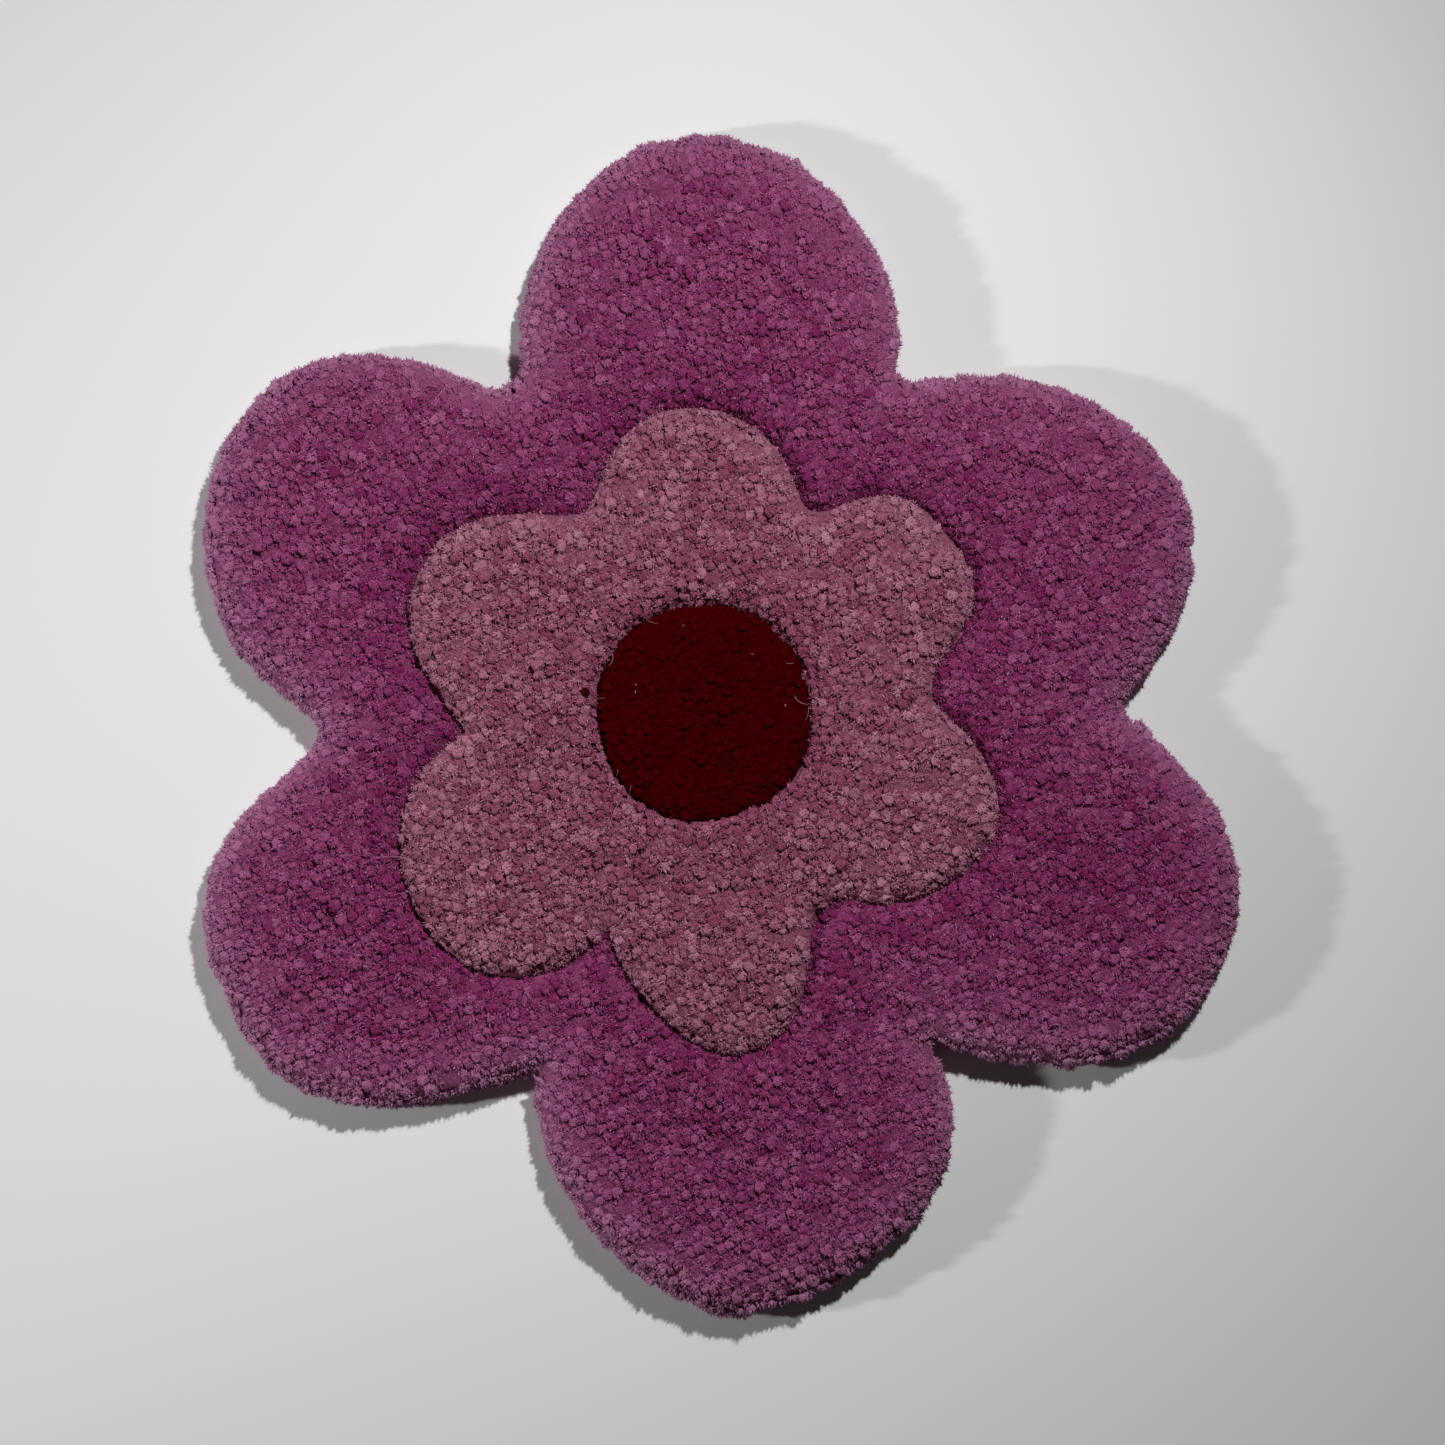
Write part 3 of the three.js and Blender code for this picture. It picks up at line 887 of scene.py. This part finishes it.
def add_mix(tree, place, factor, first, second, **values):
    """The output of a node that mixes two colours by a factor."""
    made = node(tree, "ShaderNodeMix", place, data_type="RGBA", **values)
    colors = [made.inputs[number] for number in MIX_COLORS]
    feed(tree, [made.inputs["Factor"], *colors], (factor, first, second))
    return made.outputs[MIX_RESULT]


# The colours that a yarn takes. Then how the fibre pattern is stretched along an end and how
# strongly it shows, the share of the bright colour, partly painted highlight, on a head and on a
# spike, and how the deep colour, painted shade with the dye's deeper tone, comes in: from and to
# which depth, and how much of it
YARN_COLORS = ("Base", "Bleached", "Faded", "Deep")
FIBRE_STRETCH = (1.5, 1.5, 0.4)
FIBRE_CONTRAST = 1.6
PALE_AND_HIGHLIT_SHARE = (0.35, 0.55)
DEEP_RANGE = (0.4, 5.0)
DEEP_SHARE = 0.6


def make_yarn_group():
    """What every yarn shares: each end has its own tone, its loose fibres are paler, partly painted
    highlight, it darkens down its sides with painted shade and the dye's deeper tone, painted light
    pales its rims, and fine fibres streak along it. Puts out the colour and the fibres' height."""
    tree = bpy.data.node_groups.new("wool_yarn", "ShaderNodeTree")
    sockets = [(name, "INPUT", "NodeSocketColor") for name in YARN_COLORS] + [
        ("Tone Spread", "INPUT", "NodeSocketFloat"),
        ("Color", "OUTPUT", "NodeSocketColor"),
        ("Fibre Height", "OUTPUT", "NodeSocketFloat"),
    ]
    for name, way, kind in sockets:
        tree.interface.new_socket(name=name, in_out=way, socket_type=kind)
    link = tree.links.new
    inputs = node(tree, "NodeGroupInput", (-1200, 0)).outputs
    outputs = node(tree, "NodeGroupOutput", (900, 0)).inputs
    strand = node(tree, "ShaderNodeAttribute", (-1200, -300), attribute_name="strand")
    yarn = node(tree, "ShaderNodeAttribute", (-1200, 300), attribute_name="yarn")
    split = node(tree, "ShaderNodeSeparateXYZ", (-1000, 300))
    link(yarn.outputs["Vector"], split.inputs[0])
    tone, down, pale = split.outputs

    stretch = node(tree, "ShaderNodeMapping", (-1000, -300), Scale=FIBRE_STRETCH)
    link(strand.outputs["Vector"], stretch.inputs["Vector"])
    fibres = node(tree, "ShaderNodeTexNoise", (-800, -300), Scale=1.0, Detail=3.0, Roughness=0.65)
    clumps = node(tree, "ShaderNodeTexNoise", (-800, -550), Scale=0.35, Detail=1.0)
    for noise in (fibres, clumps):
        link(stretch.outputs[0], noise.inputs["Vector"])

    own = add_math(tree, (-700, 300), "MULTIPLY", tone, inputs["Tone Spread"])
    streak = add_math(tree, (-600, -200), "SUBTRACT", fibres.outputs["Fac"], 0.5)
    streak = add_math(tree, (-400, -200), "MULTIPLY", streak, FIBRE_CONTRAST)
    light = add_math(tree, (-200, 0), "ADD", own, streak)
    deeper = add_math(tree, (-300, 150), "MINIMUM", pale, 0.0)
    light = add_math(tree, (-100, 0), "ADD", light, deeper)
    # Spikes take more of the bright colour than heads: partly painted highlight.
    share = add_range(tree, (-400, 500), down, (0.0, SPIKE_MARK), PALE_AND_HIGHLIT_SHARE)
    share = add_math(tree, (0, 0), "ADD", light, share, use_clamp=True)
    color = add_mix(tree, (200, 100), share, inputs["Base"], inputs["Bleached"])
    # The pale rim colour: painted light on the rims, and the hairs' own paleness.
    faded = add_math(tree, (0, 250), "MAXIMUM", pale, 0.0, use_clamp=True)
    color = add_mix(tree, (330, 250), faded, color, inputs["Faded"])
    # The deep colour down the sides: painted shade, with the dye's deeper tone.
    depth = add_range(tree, (-200, 350), down, DEEP_RANGE, (0.0, DEEP_SHARE))
    color = add_mix(tree, (450, 100), depth, color, inputs["Deep"])
    link(color, outputs["Color"])
    height = add_math(tree, (450, -300), "ADD", fibres.outputs["Fac"], clumps.outputs["Fac"])
    link(height, outputs["Fibre Height"])
    return tree


def new_material(name):
    """A new material: its node tree and its shader."""
    material = bpy.data.materials.new(name)
    material.use_nodes = True
    return material, material.node_tree, material.node_tree.nodes["Principled BSDF"]


def make_yarn_material(name, group, dye):
    """A dyed wool yarn: matt, fibrous, with a soft sheen."""
    material, tree, shader = new_material(name)
    shader.inputs["Roughness"].default_value = 0.95
    shader.inputs["Specular IOR Level"].default_value = 0.0
    shader.inputs["Sheen Weight"].default_value = dye.sheen
    shader.inputs["Sheen Roughness"].default_value = 0.5
    shader.inputs["Sheen Tint"].default_value = (*dye.bleached, 1)
    yarn = node(tree, "ShaderNodeGroup", (-500, 0), node_tree=group)
    for color_name, color in zip(YARN_COLORS, (dye.base, dye.bleached, dye.faded, dye.deep)):
        yarn.inputs[color_name].default_value = (*color, 1)
    yarn.inputs["Tone Spread"].default_value = dye.tone_spread
    bump = node(tree, "ShaderNodeBump", (-250, -300), Strength=1.0, Distance=0.9 * MM)
    tree.links.new(yarn.outputs["Color"], shader.inputs["Base Color"])
    tree.links.new(yarn.outputs["Fibre Height"], bump.inputs["Height"])
    tree.links.new(bump.outputs[0], shader.inputs["Normal"])
    return material


# The cloth's threads: the weave's scale, and its two pale tones with how much the weave shades them
CLOTH_THREADS = 200.0
CLOTH_TONES = ((0.42, 0.37, 0.29, 1), (0.60, 0.55, 0.46, 1))
CLOTH_SHADE = 0.35


def make_cloth_material():
    """The tufting cloth: a plain weave of pale thread under a thin skin of latex."""
    material, tree, shader = new_material("tufting_cloth")
    link = tree.links.new
    shader.inputs["Roughness"].default_value = 0.75
    place = node(tree, "ShaderNodeTexCoord", (-1400, 0))
    threads = []
    for number, axis in enumerate(("X", "Y")):
        wave = node(
            tree, "ShaderNodeTexWave", (-1100, -300 * number), wave_type="BANDS",
            bands_direction=axis, Scale=CLOTH_THREADS, Distortion=0.6, Detail=1.0,
        )
        link(place.outputs["Object"], wave.inputs["Vector"])
        threads.append(wave.outputs["Fac"])
    weave = add_math(tree, (-800, -100), "MAXIMUM", *threads)
    stain = node(tree, "ShaderNodeTexNoise", (-1100, 300), Scale=45.0, Detail=4.0)
    link(place.outputs["Object"], stain.inputs["Vector"])
    color = add_mix(tree, (-500, 150), stain.outputs["Fac"], *CLOTH_TONES)
    color = add_mix(tree, (-250, 100), CLOTH_SHADE, color, weave, blend_type="MULTIPLY")
    link(color, shader.inputs["Base Color"])
    bump = node(tree, "ShaderNodeBump", (-250, -300), Strength=0.5, Distance=0.2 * MM)
    link(weave, bump.inputs["Height"])
    link(bump.outputs[0], shader.inputs["Normal"])
    return material


# Dyes, as linear colours: the yarn as it stands, its bright fibre ends, partly painted highlight,
# the painted light along a pale rim, which the loose hairs' own paleness also takes, and its depth,
# painted shade with the dye's deeper tone. Then its sheen and how unlike in tone its ends are.
Dye = namedtuple("Dye", "base bleached faded deep sheen tone_spread")
MAGENTA = Dye(
    base=(0.206, 0.019, 0.100), bleached=(0.462, 0.143, 0.303), faded=(0.45, 0.20, 0.34),
    deep=(0.12, 0.006, 0.045), sheen=0.2, tone_spread=0.14,
)
PINK = Dye(
    base=(0.245, 0.054, 0.110), bleached=(0.53, 0.235, 0.335), faded=(0.46, 0.25, 0.32),
    deep=(0.13, 0.02, 0.045), sheen=0.2, tone_spread=0.18,
)
CRIMSON = Dye(
    base=(0.043, 0.0, 0.0005), bleached=(0.078, 0.001, 0.002), faded=(0.078, 0.001, 0.002),
    deep=(0.035, 0.0, 0.0004), sheen=0.0, tone_spread=0.10,
)

yarn_group = make_yarn_group()
magenta_yarn = make_yarn_material("magenta_yarn", yarn_group, MAGENTA)
pink_yarn = make_yarn_material("pink_yarn", yarn_group, PINK)
crimson_yarn = make_yarn_material("crimson_yarn", yarn_group, CRIMSON)
cloth_material = make_cloth_material()


# The cloth's edge, from its underside to its top: how far it is drawn in and how high it lies.
# Every so many of the outline's points are used.
CLOTH_EDGE = ((0.5, 0.0), (0.0, 0.5), (0.0, 1.6), (0.4, CLOTH_TOP))
CLOTH_STEP = 3


def make_cloth():
    """The tufting cloth: a flat flower with a rounded edge, its outline moved in from the pile's."""
    rings = []
    for inset, height in CLOTH_EDGE:
        line = rug_outline.points - rug_outline.normals * (CLOTH_INSET + inset)
        line = line[::CLOTH_STEP]
        rings.append(np.column_stack([line, np.full(len(line), height)]))
    count = len(line)
    vertices = np.vstack(rings + [[[0, 0, 0]], [[0, 0, CLOTH_TOP]]])
    faces = []
    for ring in range(len(rings) - 1):
        faces += strip(ring * count, (ring + 1) * count, count)
    side = np.arange(count)
    after = (side + 1) % count
    top = (len(rings) - 1) * count
    below = np.full(count, len(rings) * count)
    faces.append(np.stack([after, side, below], axis=1))
    faces.append(np.stack([top + side, top + after, below + 1], axis=1))
    return new_mesh("tufting_cloth", vertices, np.vstack(faces), cloth_material)


# Under the ends the yarn stands packed: how deep below them its mass starts, how far its walls
# stand inside the edges, how much higher it is beside the groove and near the rug's rim, where
# painted light makes it paler too, and how finely it is drawn
BED_DEPTH = 2.3
CENTRE_BED_DEPTH = 1.5
BED_INSETS = {"rug": 5.0, "groove": 0.1}
BED_LEAST = 1.0
BED_HUB = 1.0
BED_SHADE = 1.0
GROOVE_FILL = 1.1
RIM_FILL = 0.8
RIM_FILL_FADE = 14.0
RIM_FILL_LIGHT = 0.6
BED_POINTS = 240
BED_STEPS = 12


def make_bed(name, field, bed_depth, material):
    """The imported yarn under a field's ends, as one closed ring.

    Its rings of vertices run between the field's edges at even shares of the way, at the carved
    height less the bed's depth, and its walls and underside stand on the cloth. The centre's bed
    runs in to a hub BED_HUB in radius.
    """
    angles = np.linspace(0, 2 * np.pi, BED_POINTS, endpoint=False)
    rays = np.stack([np.cos(angles), np.sin(angles)], axis=-1)
    outline = field.outer_edge
    inset = BED_INSETS["rug" if outline is rug_outline else "groove"]
    far = np.interp(angles, outline.angles, outline.radius, period=2 * np.pi) - inset
    if field.inner_edge:
        near = np.interp(angles, field.inner_edge.angles, field.inner_edge.radius, period=2 * np.pi)
        near = near + BED_INSETS["groove"]
    else:
        near = np.full(BED_POINTS, BED_HUB)
    rings = []
    for step in range(BED_STEPS + 1):
        places = rays * (far + (near - far) * step / BED_STEPS)[:, None]
        top = carved_height(field, places) - bed_depth
        beside = np.exp(-np.abs(inner_outline.depth(places)[0]) / GROOVE_REACH)
        near_rim = np.exp(-rug_outline.depth(places)[0] / RIM_FILL_FADE)
        top = np.maximum(top + GROOVE_FILL * beside + RIM_FILL * near_rim, CLOTH_TOP + BED_LEAST)
        rings.append(np.column_stack([places, top]))
    floor_near = np.column_stack([rays * near[:, None], np.full(BED_POINTS, CLOTH_TOP)])
    floor_far = np.column_stack([rays * far[:, None], np.full(BED_POINTS, CLOTH_TOP)])
    rings = [floor_far] + rings + [floor_near]
    vertices = np.vstack(rings)
    faces = []
    for ring in range(len(rings)):
        faces += strip(ring * BED_POINTS, (ring + 1) % len(rings) * BED_POINTS, BED_POINTS)
    # Painted light on the bed near the rug's rim.
    pale = RIM_FILL_LIGHT * np.exp(-rug_outline.depth(vertices[:, :2])[0] / RIM_FILL_FADE)
    # The bed's colour reads deeper by BED_SHADE: painted shade.
    down = np.full(len(vertices), bed_depth + BED_SHADE)
    yarn = np.column_stack([np.zeros(len(vertices)), down, pale])
    return yarn_piece(name, [(vertices, np.vstack(faces), vertices, yarn)], material)


# Loose hairs that lie on the pile, pale and curled, and a few specks of lint beside and on the
# crimson centre: how many lie on each field and along the centre's edge, how far from the fields'
# edges, and how long, curled and thick each kind is
HairKind = namedtuple("HairKind", "lengths curl width")
OUTER_HAIR = HairKind((4, 12), 3.0, 0.13)
INNER_HAIR = HairKind((5, 14), 2.6, 0.12)
EDGE_HAIR = HairKind((3, 7), 1.1, 0.08)
LINT = HairKind((0.9, 1.3), 0.3, 0.22)
OUTER_HAIRS = 46
INNER_HAIRS = 54
EDGE_HAIRS = 18
OUTER_HAIR_MARGIN = 3
INNER_HAIR_MARGIN = 2
EDGE_HAIR_SCATTER = 1.6
LINT_PLACES = np.array([
    (-25.9, 11.4), (-25.2, 9.0), (-8, 33.2), (17.9, 22.5), (31.3, 3.8), (-12, 44),
])

# How a hair is drawn: its sides and steps, how far it rises over the pile and how far its ends
# are pressed in, and its tone and paleness
HAIR_SIDES = 3
HAIR_STEPS = 8
HAIR_LIFT = 0.6
HAIR_SINK = 0.35
HAIR_TONE = 2.0
HAIR_PALE = 0.15


def between(outer, inner, count, margin):
    """Random places between two outlines, kept a margin away from both."""
    angles = random.uniform(0, 2 * np.pi, count)
    far = np.interp(angles, outer.angles, outer.radius, period=2 * np.pi) - margin
    near = np.interp(angles, inner.angles, inner.radius, period=2 * np.pi) + margin
    reach = np.sqrt(near ** 2 + (far ** 2 - near ** 2) * random.random(count))
    return np.stack([reach * np.cos(angles), reach * np.sin(angles)], axis=-1)


def pile_top(places):
    """The carved height of whichever field lies at each place."""
    height = carved_height(OUTER_FIELD, places)
    is_inner = inner_outline.depth(places)[0] > 0
    height = np.where(is_inner, carved_height(INNER_FIELD, places), height)
    is_centre = centre_outline.depth(places)[0] > 0
    return np.where(is_centre, carved_height(CENTRE_FIELD, places), height)


def hair_arrays(starts, kind):
    """Thin tubes that come to a point at both ends.

    Each runs from its start along a heading that turns evenly by its curl, and rises and sinks
    over the pile by half a sine wave, with its ends pressed in.
    """
    count = len(starts)
    share = np.linspace(0, 1, HAIR_STEPS + 1)
    turn = random.normal(0, kind.curl, (count, 1))
    heading = random.uniform(0, 2 * np.pi, (count, 1)) + turn * share
    step = random.uniform(*kind.lengths, (count, 1)) / HAIR_STEPS
    ways = np.stack([np.cos(heading), np.sin(heading)], axis=-1) * step[..., None]
    plan = starts[:, None] + np.cumsum(ways, axis=1)
    top = pile_top(plan.reshape(-1, 2)).reshape(count, -1)
    centre = np.dstack([plan, top + HAIR_LIFT * np.sin(np.pi * share) - HAIR_SINK])
    way = np.gradient(centre, axis=1)
    way /= np.linalg.norm(way, axis=-1, keepdims=True)
    first = np.cross(way, np.array([0, 0, 1]))
    first /= np.linalg.norm(first, axis=-1, keepdims=True)
    second = np.cross(way, first)
    angle = 2 * np.pi * np.arange(HAIR_SIDES) / HAIR_SIDES
    arms = first[:, :, None] * np.cos(angle)[:, None] + second[:, :, None] * np.sin(angle)[:, None]
    rings = (centre[:, :, None] + arms * kind.width)[:, 1:-1].reshape(count, -1, 3)
    vertices = np.concatenate([centre[:, :1], rings, centre[:, -1:]], axis=1)
    side = np.arange(HAIR_SIDES)
    after = (side + 1) % HAIR_SIDES
    faces = [np.stack([np.zeros(HAIR_SIDES, int), 1 + after, 1 + side], axis=1)]
    for ring in range(HAIR_STEPS - 2):
        low = 1 + ring * HAIR_SIDES
        faces += strip(low, low + HAIR_SIDES, HAIR_SIDES)
    last = 1 + (HAIR_STEPS - 2) * HAIR_SIDES
    point = np.full(HAIR_SIDES, last + HAIR_SIDES)
    faces.append(np.stack([last + side, last + after, point], axis=1))
    offsets = np.arange(count)[:, None, None] * (last + HAIR_SIDES + 1)
    return vertices.reshape(-1, 3), (np.vstack(faces)[None] + offsets).reshape(-1, 3)


def make_hairs(name, groups, material):
    """One piece of loose hairs, from groups of places, each with its kind."""
    pieces = []
    for starts, kind in groups:
        places, triangles = hair_arrays(starts, kind)
        yarn = np.tile([HAIR_TONE, SPIKE_MARK, HAIR_PALE], (len(places), 1))
        pieces.append((places, triangles, places, yarn))
    return yarn_piece(name, pieces, material)


# All the yarn ends of the three fields, packed against each other
fields = [
    lay_tufts(OUTER_FIELD, RIM_ROWS, OUTER_GROOVE_ROWS),
    lay_tufts(INNER_FIELD, INNER_RIM_ROWS, INNER_GROOVE_ROWS),
    lay_tufts(CENTRE_FIELD, CENTRE_RIM_ROWS, ()),
]
everything = Tufts(*(np.concatenate(part) for part in zip(*fields)))
field_number = np.repeat([0, 1, 2], [len(field.tip) for field in fields])

# One crimson end strayed into the pink, just left of the centre
STRAY_END = np.array([-44.2, 9.2])
distance = np.linalg.norm(everything.tip[:, :2] - STRAY_END, axis=1)
field_number[np.where(field_number == 1, distance, np.inf).argmin()] = 2

# Each end's way at its tip, the frame square to it and the end's spin in it, and its radii
bend = bend_point(everything.tip, everything.root)
_, tip_way = bezier(everything.root, bend, everything.tip, np.ones(len(bend)))
first, second = cross_frame(tip_way)
spin = random.uniform(0, 2 * np.pi, len(bend))
radii = packed_radii(everything.tip, everything.size, first, second, spin)
rim_depth, _ = rug_outline.depth(everything.tip[:, :2])
parts = (first, second, spin)


def chosen_piece(name, chosen, material, spike_kinds=(LOCKS, WISPS)):
    """A piece of the yarn ends that are chosen."""
    some, some_parts = chosen_tufts(chosen, everything, parts)
    return tuft_piece(
        name, some, radii[chosen], some_parts, tip_way[chosen], material, rim_depth[chosen],
        spike_kinds,
    )


def put(piece, slot, *nodes):
    """The piece rides on the rug and stands for its solids."""
    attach(piece, "root")
    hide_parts(*nodes)


def put_pile(piece, slot, *nodes):
    """A piece of the pile, put like any other piece."""
    put(piece, slot, *nodes)


for number in range(len(RUG.lobes)):
    is_petal = (field_number == 0) & (everything.lobe == number)
    petal = chosen_piece(f"petal_tufts_{number + 1}", is_petal, magenta_yarn)
    put_pile(petal, "magenta_yarn", "outer_pile")
is_upper = everything.tip[:, 1] >= 0
for name, is_half in (("inner_tufts_upper", is_upper), ("inner_tufts_lower", ~is_upper)):
    half = chosen_piece(name, (field_number == 1) & is_half, pink_yarn)
    put_pile(half, "pink_yarn", "inner_pile")
centre = chosen_piece("centre_tufts", field_number == 2, crimson_yarn, (SHORT_LOCKS, SHORT_WISPS))
put_pile(centre, "crimson_yarn", "centre_pile")

for name, field, bed_depth, finish, slot, solid in (
    ("outer_bed", OUTER_FIELD, BED_DEPTH, magenta_yarn, "magenta_yarn", "outer_pile"),
    ("inner_bed", INNER_FIELD, BED_DEPTH, pink_yarn, "pink_yarn", "inner_pile"),
    ("centre_bed", CENTRE_FIELD, CENTRE_BED_DEPTH, crimson_yarn, "crimson_yarn", "centre_pile"),
):
    put_pile(make_bed(name, field, bed_depth, finish), slot, solid)

outer_places = between(rug_outline, inner_outline, OUTER_HAIRS, OUTER_HAIR_MARGIN)
inner_places = between(inner_outline, centre_outline, INNER_HAIRS, INNER_HAIR_MARGIN)
edge_places = between(centre_outline, centre_outline, EDGE_HAIRS, 0)
edge_places = edge_places + random.normal(0, EDGE_HAIR_SCATTER, edge_places.shape)
inner_groups = ((inner_places, INNER_HAIR), (edge_places, EDGE_HAIR), (LINT_PLACES, LINT))
for name, groups, finish, slot, solid in (
    ("inner_hairs", inner_groups, pink_yarn, "pink_yarn", "inner_pile"),
    ("outer_hairs", ((outer_places, OUTER_HAIR),), magenta_yarn, "magenta_yarn", "outer_pile"),
):
    put_pile(make_hairs(name, groups, finish), slot, solid)

cloth = make_cloth()
put(cloth, "tufting_cloth", "ground_cloth")

# The floor's size and colour, and the camera: its height over the floor, what it looks straight
# down at, and how wide its frame is at the level of the rug's rim
FLOOR_SIZE = 6000
FLOOR_COLOR = (0.78, 0.785, 0.78, 1)
CAMERA_HEIGHT = 950.0
VIEW_CENTRE = (7.4, -3.2)
FRAME_WIDTH = 551.0
RIM_LEVEL = 8.0
SENSOR_WIDTH = 36.0
CLIP_START = 0.01
WORLD_STRENGTH = 0.02


def make_floor():
    """A wide plain pale floor."""
    half = FLOOR_SIZE / 2
    corners = np.array([(-half, -half, 0), (half, -half, 0), (half, half, 0), (-half, half, 0)])
    material, _, shader = new_material("pale_floor")
    shader.inputs["Base Color"].default_value = FLOOR_COLOR
    shader.inputs["Roughness"].default_value = 0.85
    shader.inputs["Specular IOR Level"].default_value = 0.2
    floor = new_mesh("floor", corners, np.array([(0, 1, 2), (0, 2, 3)]), material)


def lamp(name, bearing, elevation, distance, aim, size, spread, power):
    """A round lamp at a bearing and height round the rug's middle, aimed at a place on the floor,
    with a beam that thins out to nothing at half its spread from the aim."""
    light = bpy.data.lights.new(name, "AREA")
    light.shape = "DISK"
    light.size = size * MM
    light.spread = math.radians(spread)
    light.energy = power
    lamp_object = bpy.data.objects.new(name, light)
    flat = math.cos(math.radians(elevation))
    place = distance * np.array([
        flat * math.cos(math.radians(bearing)), flat * math.sin(math.radians(bearing)),
        math.sin(math.radians(elevation)),
    ])
    lamp_object.location = place * MM
    beam = Vector((aim[0] - place[0], aim[1] - place[1], -place[2]))
    lamp_object.rotation_euler = beam.to_track_quat("-Z", "Y").to_euler()
    bpy.context.scene.collection.objects.link(lamp_object)


def make_camera():
    """Straight above the rug, with the top petal up."""
    camera = bpy.data.cameras.new("camera")
    camera.sensor_width = SENSOR_WIDTH
    camera.lens = SENSOR_WIDTH * (CAMERA_HEIGHT - RIM_LEVEL) / FRAME_WIDTH
    camera.clip_start = CLIP_START
    camera_object = bpy.data.objects.new("camera", camera)
    camera_object.location = (VIEW_CENTRE[0] * MM, VIEW_CENTRE[1] * MM, CAMERA_HEIGHT * MM)
    bpy.context.scene.collection.objects.link(camera_object)
    bpy.context.scene.camera = camera_object


make_floor()
lamp(
    "key_lamp", bearing=61, elevation=51, distance=954, aim=(-286, -264), size=52, spread=103.0,
    power=3.2,
)
lamp(
    "side_lamp", bearing=186, elevation=21, distance=1646, aim=(-500, 0), size=85, spread=111.7,
    power=5.6,
)
world = bpy.data.worlds.new("studio")
world.use_nodes = True
background = world.node_tree.nodes["Background"]
background.inputs["Color"].default_value = (1, 1, 1, 1)
background.inputs["Strength"].default_value = WORLD_STRENGTH
bpy.context.scene.world = world
bpy.context.scene.view_settings.view_transform = "Standard"
make_camera()
